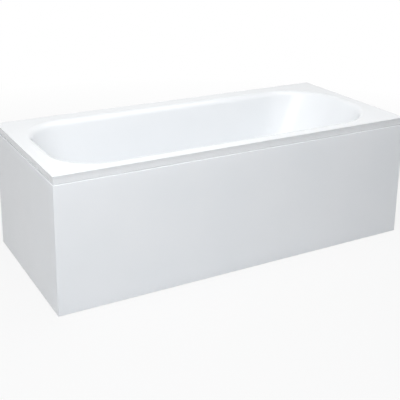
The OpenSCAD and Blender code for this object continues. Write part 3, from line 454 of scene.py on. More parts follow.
lamps = dict(
    keySoftbox=dict(place=(-1.6, -1.7, 2.9), aim=(-0.2, 0, 0.4), size=(2.5, 2.5), power=62, mirrored=False),
    frontSoftbox=dict(place=(-1.9, -2.6, 2.3), aim=(-0.3, 0, 0.35), size=(1.8, 1.8), power=22, mirrored=True),
    topSoftbox=dict(place=(0.4, -0.5, 2.8), aim=(0.3, 0.2, 0.4), size=(2.4, 1.6), power=22, mirrored=True),
    backSoftbox=dict(place=(1.3, 2.7, 1.2), aim=(0.0, 0.2, 0.3), size=(2.2, 1.6), power=16, mirrored=False),
)
for name, lamp in lamps.items():
    light = bpy.data.lights.new(name, "AREA")
    light.shape = "RECTANGLE"
    light.size, light.size_y = lamp["size"]
    light.energy = lamp["power"]
    holder = bpy.data.objects.new(name, light)
    holder.location = lamp["place"]
    holder.visible_glossy = lamp["mirrored"]
    holder.rotation_mode = "QUATERNION"
    holder.rotation_quaternion = (Vector(lamp["aim"]) - Vector(lamp["place"])).to_track_quat("-Z", "Y")
    putInScene(holder)

bpy.context.scene.view_settings.view_transform = "Standard"
print("camera, stage and lamps ready")


# materials

def startMaterial(name, colour, roughness, metallic=0.0, ior=1.5):
    material = bpy.data.materials.new(name)
    material.use_nodes = True
    material.diffuse_color = toLinear(colour)
    shader = material.node_tree.nodes["Principled BSDF"]
    for socket, value in (("Base Color", toLinear(colour)), ("Roughness", roughness), ("Metallic", metallic),
                          ("IOR", ior)):
        shader.inputs[socket].default_value = value
    return material, shader, addNode(material.node_tree, "ShaderNodeTexCoord").outputs["Object"]


# White acrylic (PMMA) sheet, heated and drawn over a mould: deep even gloss, a faint
# long wave from the forming and a fine orange peel
def formedAcrylic(name, colour, lightColour, waveHeight):
    material, shader, here = startMaterial(name, colour, 0.13, ior=1.49)
    setSocket(shader, "Roughness", spread(noiseOf(here, 14.0, 3.0), 0.35, 0.7, 0.10, 0.16))
    setBump(shader, (noiseOf(here, 7.0, 1.0), waveHeight, 1.0), (noiseOf(here, 420.0, 1.0), 0.004 * mm, 1.0))
    setSocket(shader, "Base Color", blend(noiseOf(here, 3.0, 2.0), colour, lightColour))
    return material


# Glass-fibre laminate sprayed on the back of the sheet: cream resin, chopped strands of
# about 40 mm lying all ways, rough to the touch with glossy spots
def sprayedLaminate():
    material, shader, here = startMaterial("sprayedGlassFibreLaminate", "#D9D3BE", 0.5, ior=1.54)
    strands = None
    for down, along in ((-0.29, 0.0), (0.42, 0.0), (0.0, 1.28), (0.0, 2.03), (-1.28, 1.57), (-1.19, 3.14)):
        placed = stretched(here, (1 / 28, 1 / 640, 1 / 640), (0.0, down, along), "TEXTURE")
        shown = spread(noiseOf(placed, 1.0, 0.0), 0.63, 0.73)
        strands = shown if strands is None else calc("MAXIMUM", strands, shown)
    blotch = noiseOf(here, 9.0, 4.0)
    setSocket(shader, "Base Color", blend(strands, blend(blotch, "#D2CCB9", "#E2DECF"), "#EDEADF"))
    setBump(shader, (calc("ADD", noiseOf(here, 60.0, 3.0), strands), 0.3 * mm, 0.7))
    setSocket(shader, "Roughness", spread(blotch, 0.0, 1.0, 0.3, 0.62))
    return material


# Chipboard sealed with brushed-on resin: flat chips of 2 to 8 mm in straw and brown
def sealedChipboard():
    material, shader, here = startMaterial("resinSealedChipboard", "#B79A6B", 0.4, ior=1.5)
    bent = pushed(here, noiseOf(here, 90.0, 2.0, "Color"), 0.02)
    chips = addNode(here.id_data, "ShaderNodeTexVoronoi", {"Vector": bent, "Scale": 260.0})
    pick = addNode(here.id_data, "ShaderNodeSeparateColor", {"Color": chips.outputs["Color"]}).outputs[0]
    setSocket(shader, "Base Color",
              ramp(pick, (0.0, "#8E6C3F"), (0.3, "#B08F5C"), (0.7, "#CDB07C"), (1.0, "#DCC79B")))
    setBump(shader, (chips.outputs["Distance"], 0.15 * mm, 0.6))
    return material


# Planed softwood (spruce): growth rings about 3 mm apart run along the batten
def planedSpruce(name, angle):
    material, shader, here = startMaterial(name, "#D8BE90", 0.55, ior=1.5)
    turn = (0, 0, math.radians(angle))
    placed = stretched(here, (0.6, 11.0, 11.0), turn)
    bent = pushed(placed, noiseOf(placed, 2.0, 2.0, "Color"), 0.12)
    rings = addNode(here.id_data, "ShaderNodeTexWave",
                    {"Vector": bent, "Scale": 9.0, "Distortion": 1.2, "Detail": 2.0},
                    wave_type="RINGS", rings_direction="X")
    setSocket(shader, "Base Color",
              ramp(rings.outputs["Fac"], (0.0, "#DEC79C"), (0.55, "#D5B987"), (0.85, "#BE9A62"), (1.0, "#D9C196")))
    setBump(shader, (noiseOf(stretched(here, (30.0, 1600.0, 1600.0), turn), 1.0, 2.0), 0.06 * mm, 0.7))
    return material


# Zinc-plated steel, pressed or turned, and turned stainless steel: cool satin grey,
# cloudy gloss and faint drawing or turning lines
def satinSteel(name, colour, lines):
    material, shader, here = startMaterial(name, colour, 0.34, metallic=1.0)
    cloud = noiseOf(here, 38.0, 5.0, Roughness=0.6)
    setSocket(shader, "Roughness", spread(cloud, 0.3, 0.7, 0.26, 0.46))
    setSocket(shader, "Base Color", ramp(cloud, (0.3, "#AEB6BE"), (0.5, colour), (0.72, "#CFCFC6")))
    setBump(shader, (noiseOf(stretched(here, lines), 1.0, 2.0), 0.012 * mm, 1.0))
    return material


# Moulded and extruded plastics (polypropylene, acetal, nylon, PVC) and nitrile rubber: an
# even colour, the tool's fine spark-eroded texture about 0.4 mm across, and a little flow
# variation in the gloss
def mouldedPlastic(name, colour, roughness, ior, grain=2500.0, depth=0.01):
    material, shader, here = startMaterial(name, colour, roughness, ior=ior)
    setBump(shader, (noiseOf(here, grain, 2.0), depth * mm, 1.0))
    flow = noiseOf(here, 45.0, 3.0)
    setSocket(shader, "Roughness", spread(flow, 0.3, 0.7, roughness - 0.06, roughness + 0.06))
    setSocket(shader, "Base Color", blend(flow, colour, [0.93 * c for c in toLinear(colour)[:3]] + [1.0]))
    return material


# Bright chrome plate on polished brass: mirror gloss with the lightest polishing haze
def brightChrome():
    material, shader, here = startMaterial("polishedChromePlate", "#DDE0E3", 0.05, metallic=1.0)
    setSocket(shader, "Roughness", spread(noiseOf(here, 120.0, 4.0), 0.35, 0.75, 0.03, 0.1))
    return material


# each finish with the frame's material slot that it stands for
finishes = dict(
    acrylic=("shell_acrylic", formedAcrylic("formedWhiteAcrylic", "#ECEFF2", "#F2F4F6", 0.10 * mm)),
    panelAcrylic=("panel_acrylic", formedAcrylic("formedWhiteAcrylicPanel", "#EAEEF2", "#F2F4F7", 0.22 * mm)),
    laminate=("shell_acrylic", sprayedLaminate()),
    chipboard=("board", sealedChipboard()),
    spruceX=("timber", planedSpruce("planedSpruceLong", 0)),
    spruceY=("timber", planedSpruce("planedSpruceCross", 90)),
    zincSteel=("zinc_steel", satinSteel("zincPlatedPressedSteel", "#BFC4C8", (900.0, 900.0, 40.0))),
    zincBright=("zinc_steel", satinSteel("zincPlatedTurnedSteel", "#C9CDD0", (300.0, 300.0, 300.0))),
    stainless=("stainless", satinSteel("turnedStainlessSteel", "#C8C8C6", (60.0, 60.0, 2400.0))),
    chrome=("chrome", brightChrome()),
    whitePlastic=("waste_plastic", mouldedPlastic("mouldedPolypropylene", "#E9E9E6", 0.42, 1.49)),
    pipePlastic=("waste_plastic", mouldedPlastic("extrudedPolypropylene", "#EDEDEA", 0.33, 1.49, 700.0, 0.006)),
    clipPlastic=("clip_plastic", mouldedPlastic("mouldedAcetal", "#E2E1DC", 0.38, 1.48)),
    hosePlastic=("hose_plastic", mouldedPlastic("blowMouldedPolypropylene", "#D3D6D8", 0.46, 1.49, 900.0, 0.02)),
    blackNylon=("pad_plastic", mouldedPlastic("mouldedBlackNylon", "#1E1F21", 0.5, 1.53)),
    rubber=("rubber", mouldedPlastic("mouldedNitrileRubber", "#202022", 0.72, 1.52, 1800.0, 0.02)),
    sheath=("cable_sheath", mouldedPlastic("extrudedPvcSheath", "#1B1C1F", 0.42, 1.53, 1200.0, 0.01)),
)
print("materials ready")

# tub

tub = dict(
    length=1.700, width=0.750, height=0.575, depth=0.420, sheet=0.007, flatEdge=0.002,
    lip=0.035, lipLean=20.0, lipFade=1.3, lipRings=(0, 1, 2, 4, 6, 9, 12, 16, 20, 24, 28),
    lipInside=0.00915, lipEdge=0.0015, heel=0.0016, heelDrop=0.006,
    edgeRadius=0.0018, cornerRadius=0.009, smallestRadius=0.001, roll=0.032,
    rim=dict(head=0.046, back=0.066, foot=0.052, front=0.044),
    lean=dict(head=28.0, back=8.0, foot=15.0, front=8.0),
    fillet=dict(head=0.110, back=0.065, foot=0.065, front=0.065),
    corners=(("head", "back", 0.280), ("foot", "back", 0.220), ("foot", "front", 0.220),
             ("head", "front", 0.280)),
    fall=6.0, drainX=-0.500, cornerSteps=26, straightSteps=12, bendSteps=14, wallSteps=6, underBends=8, underWall=4,
    floorRings=(0.04, 0.3, 0.6, 0.85, 0.985), underRings=(0.6, 0.04),
)
openFoot = -tub["length"] / 2 + tub["rim"]["foot"]
openHead = tub["length"] / 2 - tub["rim"]["head"]
openFront = -tub["width"] / 2 + tub["rim"]["front"]
openBack = tub["width"] / 2 - tub["rim"]["back"]
midY = (openFront + openBack) / 2
floorZ = tub["height"] - tub["depth"]


def wallPoint(side, u, below):
    # inset and depth of a wall: u is 0 to 1 over the roll, to 2 down the wall, to 3 round the floor radius
    lean, fillet, roll, depth = tub["lean"][side], tub["fillet"][side], tub["roll"], tub["depth"]
    straight = depth - fillet + fillet * sinD(lean) - roll + roll * sinD(lean)
    centreIn = roll * cosD(lean) + fillet * cosD(lean) + straight * tanD(lean)
    if u < 0:
        return u * tub["flatEdge"], 0.0     # on the flat rim, outside the opening
    if u <= 1:
        angle = (90 - lean) * u
        return (roll - below) * sinD(angle), roll - (roll - below) * cosD(angle)
    start = wallPoint(side, 1, below)
    end = (centreIn - (fillet + below) * cosD(lean), depth - fillet + (fillet + below) * sinD(lean))
    if u <= 2:
        return mix(start[0], end[0], u - 1), mix(start[1], end[1], u - 1)
    angle = mix(lean, 90, u - 2)
    return centreIn - (fillet + below) * cosD(angle), depth - fillet + (fillet + below) * sinD(angle)


def withStraights(corners):
    # corner arcs joined by evenly divided straight runs
    ring, count = [], tub["straightSteps"] + 1
    for c in range(4):
        a, b = Vector(corners[c][-1]), Vector(corners[(c + 1) % 4][0])
        ring += corners[c] + [tuple(a.lerp(b, i / count)) for i in range(1, count)]
    return ring


def basinRing(u, below, shrink=1.0):
    walls = {side: wallPoint(side, u, below) for side in tub["lean"]}
    edgeX = dict(head=openHead - walls["head"][0], foot=openFoot + walls["foot"][0])
    edgeY = dict(back=openBack - walls["back"][0], front=openFront + walls["front"][0])
    settled = 3 * (u - 1) / 9 if u <= 2 else (3 + 6 * (u - 2)) / 9      # how much of the floor's fall is there
    slope = 0 if below > 0 else tub["fall"] * mm
    corners = []
    for c, (xSide, ySide, radius) in enumerate(tub["corners"]):
        r = radius - walls[ySide][0]
        centreX = edgeX[xSide] + (-r if xSide == "head" else r)
        centreY = edgeY[ySide] + (-r if ySide == "back" else r)
        first, last = (xSide, ySide) if c % 2 == 0 else (ySide, xSide)
        arc = []
        for i in range(tub["cornerSteps"] + 1):
            t = i / tub["cornerSteps"]
            depth = mix(walls[first][1], walls[last][1], (1 - math.cos(math.pi * t)) / 2)
            x, y = centreX + r * cosD(90 * (c + t)), centreY + r * sinD(90 * (c + t))
            fall = slope * (x - tub["drainX"]) * max(settled, 0) ** 2
            arc.append((x, y, tub["height"] - depth + fall))
        corners.append(arc)
    ring = withStraights(corners)
    if shrink < 1:
        middle = Vector((sum(edgeX.values()) / 2, midY))
        ring = [(mix(middle.x, x, shrink), mix(middle.y, y, shrink), z + slope * (mix(middle.x, x, shrink) - x))
                for x, y, z in ring]
    return ring


def rimRing(inset, z):
    r, steps = max(tub["cornerRadius"] - inset, tub["smallestRadius"]), tub["cornerSteps"]
    corners = []
    for c in range(4):
        centreX = (1 if c in (0, 3) else -1) * (tub["length"] / 2 - inset - r)
        centreY = (1 if c < 2 else -1) * (tub["width"] / 2 - inset - r)
        angles = [90 * (c + i / steps) for i in range(steps + 1)]
        corners.append([(centreX + r * cosD(a), centreY + r * sinD(a), z) for a in angles])
    return withStraights(corners)


def lipInset(below, steps=24):
    # the lip leans in under the rim's edge and comes upright towards its foot
    length, inset = tub["lip"] - tub["edgeRadius"], 0.0
    for i in range(steps):
        lean = tub["lipLean"] * (1 - below / length * (i + 0.5) / steps) ** tub["lipFade"]
        inset += below / steps * tanD(lean)
    return inset


def makeTub():
    top, edge, low, sheet = tub["height"], tub["edgeRadius"], tub["lipEdge"], tub["sheet"]
    lipZ, inside, underZ = top - tub["lip"], tub["lipInside"], top - tub["sheet"]
    bends, walls, under, underWall = [tub[k] for k in ("bendSteps", "wallSteps", "underBends", "underWall")]
    rings = [basinRing(3, 0, s) for s in tub["floorRings"]]
    rings += [basinRing(u, 0) for u in [3 - i / bends for i in range(bends)] + [2 - i / walls for i in range(walls)]
              + [1 - i / bends for i in range(bends + 1)] + [-1]]
    rings.append(rimRing(edge + tub["flatEdge"], top))     # keeps the flat rim's shading flat
    rings += [rimRing(edge * (1 - sinD(a)), top - edge * (1 - cosD(a))) for a in range(0, 90, 15)]
    rings += [rimRing(lipInset(d * mm), top - edge - d * mm) for d in tub["lipRings"]]
    bottomIn = lipInset(tub["lip"] - edge - low)
    rings.append(rimRing(bottomIn, lipZ + low + mm / 2))
    rings += [rimRing(bottomIn + low * (1 - cosD(a)), lipZ + low * (1 - sinD(a))) for a in (0, 30, 60, 90)]
    shown = len(rings) - 1
    rings += [rimRing(inside - low, lipZ), rimRing(inside, lipZ + low),
              rimRing(inside - tub["heel"], underZ - tub["heelDrop"]), rimRing(inside + tub["heel"], underZ)]
    rings += [basinRing(u, sheet) for u in [i / under for i in range(under + 1)]
              + [1 + i / underWall for i in range(1, underWall + 1)] + [2 + i / under for i in range(1, under + 1)]]
    rings += [basinRing(3, sheet, s) for s in tub["underRings"]]
    n = len(rings[0])
    faces = skinFaces(len(rings), n)
    shell = newMesh([p for ring in rings for p in ring], faces)
    # laminate from the lip's foot inwards; the last face but one is the floor
    for polygon in shell.data.polygons:
        polygon.material_index = int(polygon.index // n >= shown and polygon.index != len(faces) - 2)
    return shell


waste = dict(drainHole=0.026, recess=0.042, recessDepth=0.003, overflowHole=0.027, overflowDepth=0.095,
             cutAbove=0.02, cutThrough=0.03)
footLean, roll = tub["lean"]["foot"], tub["roll"]
overX = (openFoot + roll * cosD(footLean)
         + (waste["overflowDepth"] - roll + roll * sinD(footLean)) * tanD(footLean))
atOverflow = at(overX, midY, tub["height"] - waste["overflowDepth"], turned("Y", 90 - footLean))
drainX = tub["drainX"]
atDrain = at(drainX, midY, 0)
shell = makeTub()
for finish in ("acrylic", "laminate"):
    shell.data.materials.append(finishes[finish][1])
cutOut(shell, [rod(waste["recess"], floorZ - waste["recessDepth"], floorZ + waste["cutAbove"], atDrain),
               rod(waste["drainHole"], floorZ - waste["cutThrough"], floorZ + waste["cutAbove"], atDrain),
               rod(waste["overflowHole"], -waste["cutThrough"], waste["cutThrough"], atOverflow)])
finishPiece(shell, "tub_shell", "acrylic", 40)
print("tub ready:", len(shell.data.polygons), "faces")

# panels

panel = dict(thickness=0.004, high=0.539, foot=0.003, flange=0.026, round=0.0026, setBack=0.0005,
             mitreGap=0.00012, clear=0.0004, wave=0.00022, waveX=2.6, waveZ=2.2, calm=0.06, calmFrom=0.02,
             pastFlange=0.002, tuck=0.001, bendSteps=7, highSteps=14, longStep=0.04)


def panelSection():
    # closed section as (depth, height, on the face), from the bottom flange round the face
    r, t, foot, top, flange = [panel[k] for k in ("round", "thickness", "foot", "high", "flange")]
    steps, high = panel["bendSteps"], panel["highSteps"]

    def bend(depth, height, angles):
        return [(depth + r * cosD(a), height + r * sinD(a), 0) for a in angles]

    section = [(flange, foot, 0)] + bend(r, foot + r, [mix(270, 180, i / steps) for i in range(steps + 1)])
    section += [(0.0, mix(foot + r, top - r, i / high), 1) for i in range(1, high)]
    section += bend(r, top - r, [mix(180, 90, i / steps) for i in range(steps + 1)])
    section += [(flange, top, 0), (flange, top - t, 0)] + bend(t + r, top - t - r, (90, 120, 150, 180))
    return section + bend(t + r, foot + t + r, (180, 210, 240, 270)) + [(flange, foot + t, 0)]


def makePanel(length, seed, place):
    # local frame: x along the panel from the mitred corner, y inwards from the rim's face
    section, set0, r, clear = panelSection(), panel["setBack"], panel["round"], panel["clear"]
    rings = []
    for angle in (45, 34, 22, 11, 0):
        ring = []
        for d, z, _ in section:
            if d < r:
                x, y = set0 + r - (r - d) * sinD(angle), set0 + r - (r - d) * cosD(angle)
            else:
                x, y = set0 + d + (1 - angle / 45) * clear, set0 + d
            ring.append((x + panel["mitreGap"], y, z))
        rings.append(ring)
    count = round(length / panel["longStep"])
    for i in range(1, count + 1):
        x = mix(set0 + panel["flange"] + panel["pastFlange"], length - set0, i / count)
        fade = max(min(1, (length - x) / panel["calm"], (x - panel["calmFrom"]) / panel["calm"]), 0)
        ring = []
        for d, z, onFace in section:
            spot = Vector((x * panel["waveX"], z * panel["waveZ"], seed))
            ring.append((x, set0 + d + (noise.noise(spot) * panel["wave"] * fade if onFace else 0), z))
        rings.append(ring)
    points = [p for ring in rings for p in ring]
    faces = skinFaces(len(rings), len(section))
    base = len(points)      # the return flange along the far edge
    x0, x1 = length - set0 - panel["thickness"], length - set0 - clear / 2
    y0, y1 = set0 + panel["thickness"] - panel["tuck"], set0 + panel["flange"] - clear
    points += [(x, y, z) for z in (panel["foot"] + clear, panel["high"] - clear)
               for x, y in rect(x0, y0, x1, y1)]
    faces += [[base + k for k in (3, 2, 1, 0)], [base + k for k in (4, 5, 6, 7)]]
    faces += [[base + k for k in (i, (i + 1) % 4, (i + 1) % 4 + 4, i + 4)] for i in range(4)]
    return newMesh(points, faces, place)


corner = at(-tub["length"] / 2, -tub["width"] / 2, 0)
finishPiece(makePanel(tub["length"], 1.7, corner), "front_panel", "panelAcrylic", 50, "front_panel")
finishPiece(makePanel(tub["width"], 8.3, corner @ swap), "end_panel", "panelAcrylic", 50, "end_panel")
print("panels ready")

# board and battens

halfL, halfW = tub["length"] / 2, tub["width"] / 2
level = dict(board=0.130, boardTop=0.148, web=0.102, lip=0.541, batten=0.548)
board = dict(x=(-0.420, 0.4404), half=0.165, cut=0.02828, round=0.003, edge=0.0006)
x0, x1, half, cut = *board["x"], board["half"], board["cut"]
boardOutline = [(x0 + cut, -half), (x1 - cut, -half), (x1, cut - half), (x1, half - cut), (x1 - cut, half),
                (x0 + cut, half), (x0, half - cut), (x0, cut - half)]
finishPiece(extruded(rounded(boardOutline, board["round"]), level["board"], level["boardTop"],
                     at(0, midY, 0), board["edge"]), "base_board", "chipboard")

battens = dict(width=0.028, tall=0.020, round=0.0015, edge=0.0004, lipBack=0.0091531, behind=0.0036, gap=0.002,
               endIn=0.040, wander=0.00012, wanderScale=4, steps=20)
foot1, front1 = -halfL + battens["lipBack"], -halfW + battens["lipBack"]
head1, back1 = -foot1 - battens["behind"], -front1 - battens["behind"]
past = battens["width"] + battens["gap"]
across = (battens["endIn"] - halfW, halfW - battens["endIn"])
battenRuns = dict(
    front=("spruceX", (foot1 + past, -foot1 - past), front1),
    back=("spruceX", (foot1 + past, -foot1 - past - battens["behind"]), back1 - battens["width"]),
    foot_end=("spruceY", across, foot1),
    head_end=("spruceY", across, head1 - battens["width"]),
)
section = rounded(rect(0, 0, battens["width"], battens["tall"]), battens["round"], 3)
for key, (finish, (start, end), side) in battenRuns.items():
    middle = [mix(start, end, i / battens["steps"]) for i in range(1, battens["steps"])]
    isLong = finish == "spruceX"
    place = at(0, side, level["batten"], lengthways) if isLong else at(side, 0, level["batten"], crossways)
    batten = extruded(section, start, end, place, battens["edge"], middle)
    for v in batten.data.vertices:      # planed timber is never quite straight
        sag = battens["wander"] * (0.5 + 0.5 * noise.noise(v.co * battens["wanderScale"]))
        v.co.z -= sag * (v.co.z > level["batten"] + battens["tall"] / 2)
    finishPiece(batten, "rim_batten_" + key, finish)
print("board and battens ready")

# leg channels, pressed from 2.5 mm sheet

channel = dict(half=0.279, side=0.020, tall=0.028, sheet=0.0025, flange=0.016, bendOut=0.0045, bendIn=0.002,
               tip=0.0003, edge=0.0002, slotEdge=0.0001, stud=0.0065, bolt=0.0033, screw=0.00275,
               slot=(0.011, 0.0045), slotY=(-0.060, 0, 0.060),
               legs=(-0.370, 0.400), studY=0.225, boltY=0.265, endBoltY=-0.120, screwX=0.028,
               screwY=(-0.130, -0.065, 0.065, 0.130), cutAbove=0.006)
w, t, h, f = channel["side"], channel["sheet"], channel["tall"], channel["flange"]
hat = [(-w - f, h), (-w - f, h - t), (-w, h - t), (-w, 0), (w, 0), (w, h - t), (w + f, h - t), (w + f, h),
       (w - t, h), (w - t, t), (t - w, t), (t - w, h)]
out, into, tip = channel["bendOut"], channel["bendIn"], channel["tip"]
hatOutline = rounded(hat, [tip, tip, into, out, out, into, tip, tip, out, into, into, out], 5)
z0, z1 = level["web"] - over, level["web"] + channel["cutAbove"]
screwSpots = [(s * channel["screwX"], dy) for s in (-1, 1) for dy in channel["screwY"]]
for key, x in zip(("foot_end", "head_end"), channel["legs"]):
    piece = extruded(hatOutline, -channel["half"], channel["half"], at(x, midY, level["web"], crossways),
                     channel["edge"])
    holes = [(channel[kind], s * channel[kind + "Y"]) for kind in ("stud", "bolt") for s in (-1, 1)]
    if key == "foot_end":
        holes.append((channel["bolt"], channel["endBoltY"]))
    cutters = [rod(r, z0, z1, at(x, midY + dy, 0), 40) for r, dy in holes]
    cutters += [rod(channel["screw"], level["board"] - channel["cutAbove"], level["board"] + over,
                    at(x + dx, midY + dy, 0), 24) for dx, dy in screwSpots]
    cutters += [extruded(stadium(*channel["slot"]), z0, z1, at(x, midY + dy, 0), channel["slotEdge"])
                for dy in channel["slotY"]]
    finishPiece(cutOut(piece, cutters), "leg_channel_" + key, "zincSteel", 30)

screws = dict(head=(0.005, 0.0025, 0.0056), shank=(0.00225, 0.0148, 0.0016), sink=0.0022)
turnEach = 37
allSpots = [(x + dx, midY + dy) for x in channel["legs"] for dx, dy in screwSpots]
screwPlaces = [at(x, y, level["board"] - channel["sheet"] - screws["head"][1], turned("Z", turnEach * n))
               for n, (x, y) in enumerate(allSpots)]
finishPiece(screwsAt(screwPlaces, **screws), "channel_screws", "zincBright", 40)

# levelling feet

foot = dict(stud=0.006, studZ=0.008, studLength=0.137, pitch=0.00175, nutCorner=0.0108, nutHeight=0.0096,
            nutFit=0.00005)
padProfile = inMm((6.05, 18), (6.05, 8), (0, 8), (0, 0), (24, 0), (24.6, 0.3), (25, 1), (25, 4.4), (24.8, 4.8),
                  (24.3, 5.1), (20.8, 6.1), (20.4, 5.9), (19.8, 6), (19.5, 6.4), (16, 8), (14, 9), (12.5, 10.3),
                  (11.5, 11.4), (11, 12.6), (11, 17.4), (10.8, 17.8), (10.4, 18))
nuts = []
for row, side in (("front_", -1), ("back_", 1)):
    for column, x in zip(("left", "right"), channel["legs"]):
        key, y = row + column, midY + side * channel["studY"]
        stud = threaded(foot["stud"], foot["studLength"], foot["pitch"], at(x, y, foot["studZ"]))
        finishPiece(stud, "foot_stud_" + key, "zincBright", 50, "foot_" + key)
        finishPiece(lathe(padProfile, at(x, y, 0)), "foot_pad_" + key, "blackNylon", 32, "foot_" + key)
        nuts += [hexBody(foot["nutCorner"], foot["nutHeight"], foot["stud"] + foot["nutFit"], at(x, y, z))
                 for z in (level["web"] - foot["nutHeight"], level["web"] + channel["sheet"])]
finishPiece(joined(nuts), "foot_lock_nuts", "zincBright", 25)
print("leg frame and feet ready")

# brackets, bent from 30 x 3 mm flat bar

bar = dict(half=0.015, thick=0.003, bend=0.0025, end=0.0008, boltHole=0.0033, pastBolt=0.010, inFrom=0.0305,
           toe=0.0073, toeLength=0.025, cutDown=0.008)


def bentBar(route):
    # route is the bar's centre line in y and z, with square bends
    left, right = [], []
    for i, p in enumerate(route):
        runs = [(Vector(route[k + 1]) - Vector(route[k])).normalized()
                for k in (i - 1, i) if 0 <= k < len(route) - 1]
        side = sum((Vector((-d.y, d.x)) for d in runs), Vector((0, 0))) * bar["thick"] / 2
        left.append(tuple(Vector(p) + side))
        right.append(tuple(Vector(p) - side))
    corners = left + right[::-1]
    area = signedArea(corners)
    radii = []
    for i, (p, a, b) in enumerate(withNeighbours(corners)):
        turn = (p.x - a.x) * (b.y - p.y) - (p.y - a.y) * (b.x - p.x)
        isEnd = i in (0, len(route) - 1, len(route), len(corners) - 1)
        radii.append(bar["end"] if isEnd else bar["bend"] + (bar["thick"] if turn * area > 0 else 0))
    return extruded(rounded(corners, radii, 6), -bar["half"], bar["half"], lengthways)


def panelBracket(drop):
    # drop is the reach from the bolt to the back of the upright leg
    t, web = bar["thick"], level["web"]
    toe, arm = bar["toe"] + t / 2, web - t / 2
    piece = bentBar([(-bar["pastBolt"], arm), (drop - t / 2, arm), (drop - t / 2, toe),
                     (drop - t + bar["toeLength"], toe)])
    return cutOut(piece, [rod(bar["boltHole"], web - bar["cutDown"], web + over, steps=32)])


boltFront = midY - channel["boltY"]
for key, x in zip(("left", "right"), channel["legs"]):
    piece = panelBracket(boltFront + halfW - bar["inFrom"])
    piece.data.transform(at(x, boltFront, 0, turned("Z", 180)))
    finishPiece(piece, "panel_bracket_" + key, "zincSteel", 30)

rib = dict(x=(-0.015, -0.012), y=(0.038, 0.4275), tall=0.018, into=0.0002, endCut=0.006, round=0.002)
(y0, y1), z0, endCut = rib["y"], level["web"] - rib["into"], rib["endCut"]
z1 = z0 + rib["tall"]
ribOutline = rounded([(y0, z0), (y1, z0), (y1, z1 - endCut), (y1 - endCut, z1), (y0 + endCut, z1),
                      (y0, z1 - endCut)], rib["round"])
longArm = joined([panelBracket(channel["legs"][0] + halfL - bar["inFrom"]),
                  extruded(ribOutline, *rib["x"], lengthways)])
longArm.data.transform(at(channel["legs"][0], midY + channel["endBoltY"], 0, turned("Z", 90)))
finishPiece(longArm, "panel_bracket_end", "zincSteel", 30)

wallFix = dict(plate=0.070, tongue=0.016, clear=0.0003, hole=0.003, holeZ=(0.482, 0.522), centres=0.450,
               cut=0.006)
t, lipZ = bar["thick"] / 2, level["lip"]
back = battens["lipBack"] + wallFix["clear"] + t
wallRoute = [(-t, lipZ - wallFix["plate"]), (-t, lipZ - t), (-back, lipZ - t),
             (-back, lipZ + wallFix["tongue"])]
for key, place in (("left", at(-wallFix["centres"], halfW, 0)), ("right", at(wallFix["centres"], halfW, 0)),
                   ("head_end", at(halfL, 0, 0, turned("Z", -90)))):
    piece = bentBar(wallRoute)
    cutOut(piece, [rod(wallFix["hole"], -wallFix["cut"], wallFix["cut"], at(0, 0, z, turned("X", 90)), 40)
                   for z in wallFix["holeZ"]])
    piece.data.transform(place)
    finishPiece(piece, "wall_bracket_" + key, "zincSteel", 30)

bolt = dict(corner=0.0055, head=0.004, shank=0.003, length=0.0175, pitch=0.001, chamfer=0.0006, nut=0.005,
            nutZ=0.0095, bite=0.0002)
boltParts = [hexBody(bolt["corner"], bolt["head"], 0),
             threaded(bolt["shank"], bolt["length"], bolt["pitch"], steps=16, chamfer=bolt["chamfer"]),
             hexBody(bolt["corner"], bolt["nut"], bolt["shank"] - bolt["bite"], at(0, 0, bolt["nutZ"]))]
boltSpots = [(x, boltFront) for x in channel["legs"]] + [(channel["legs"][0], midY + channel["endBoltY"])]
boltPlaces = [at(x, y, level["web"] - bar["thick"] - bolt["head"]) for x, y in boltSpots]
finishPiece(joined(boltParts, boltPlaces), "bracket_bolts", "zincBright", 25)

# panel clips and their screws

clip = dict(half=0.020, y=(0.0105, 0.0365), jaw=(0.527, 0.5347), web=(0.5393, 0.548), mouth=0.0285, edge=0.0006,
            corners=(0.003, 0.003, 0.0006, 0.0006, 0.0012, 0.0008, 0.0008, 0.0012), screwIn=0.0231531,
            screwHole=0.00205, headHole=0.0045, seatZ=0.5416,
            frontX=[mix(-0.670, 0.670, i / 3) for i in range(4)], endY=(-0.1875, 0.1875))
clipScrew = dict(head=(0.004, 0.002, 0.0044), shank=(0.002, 0.0167, 0.0014), sink=0.0017)
(y0, y1), (j0, j1), (w0, w1) = clip["y"], clip["jaw"], clip["web"]
clipOutline = rounded([(y0, j0), (y1, j0), (y1, w1), (y0, w1), (y0, w0), (clip["mouth"], w0),
                       (clip["mouth"], j1), (y0, j1)], clip["corners"])
frontPlaces = [at(x, -halfW, 0) for x in clip["frontX"]]
endPlaces = [at(-halfL, y, 0, swap) for y in clip["endY"]]
atScrew = at(0, clip["screwIn"], 0)
for side, places in (("front", frontPlaces), ("end", endPlaces)):
    one = extruded(clipOutline, -clip["half"], clip["half"], lengthways, clip["edge"])
    cutOut(one, [rod(clip["headHole"], j0 - over, clip["seatZ"], atScrew, 40),
                 rod(clip["screwHole"], j0 - over, w1 + over, atScrew, 32)])
    finishPiece(joined([one], places), side + "_panel_clips", "clipPlastic", 30)
atScrew = at(0, clip["screwIn"], clip["seatZ"] - clipScrew["head"][1])
clipPlaces = [place @ atScrew for place in frontPlaces + endPlaces]
finishPiece(screwsAt(clipPlaces, **clipScrew), "clip_screws", "zincBright", 40)
print("brackets, bolts and clips ready")

# waste fitting; the lists are sections as (radius, height) in millimetres

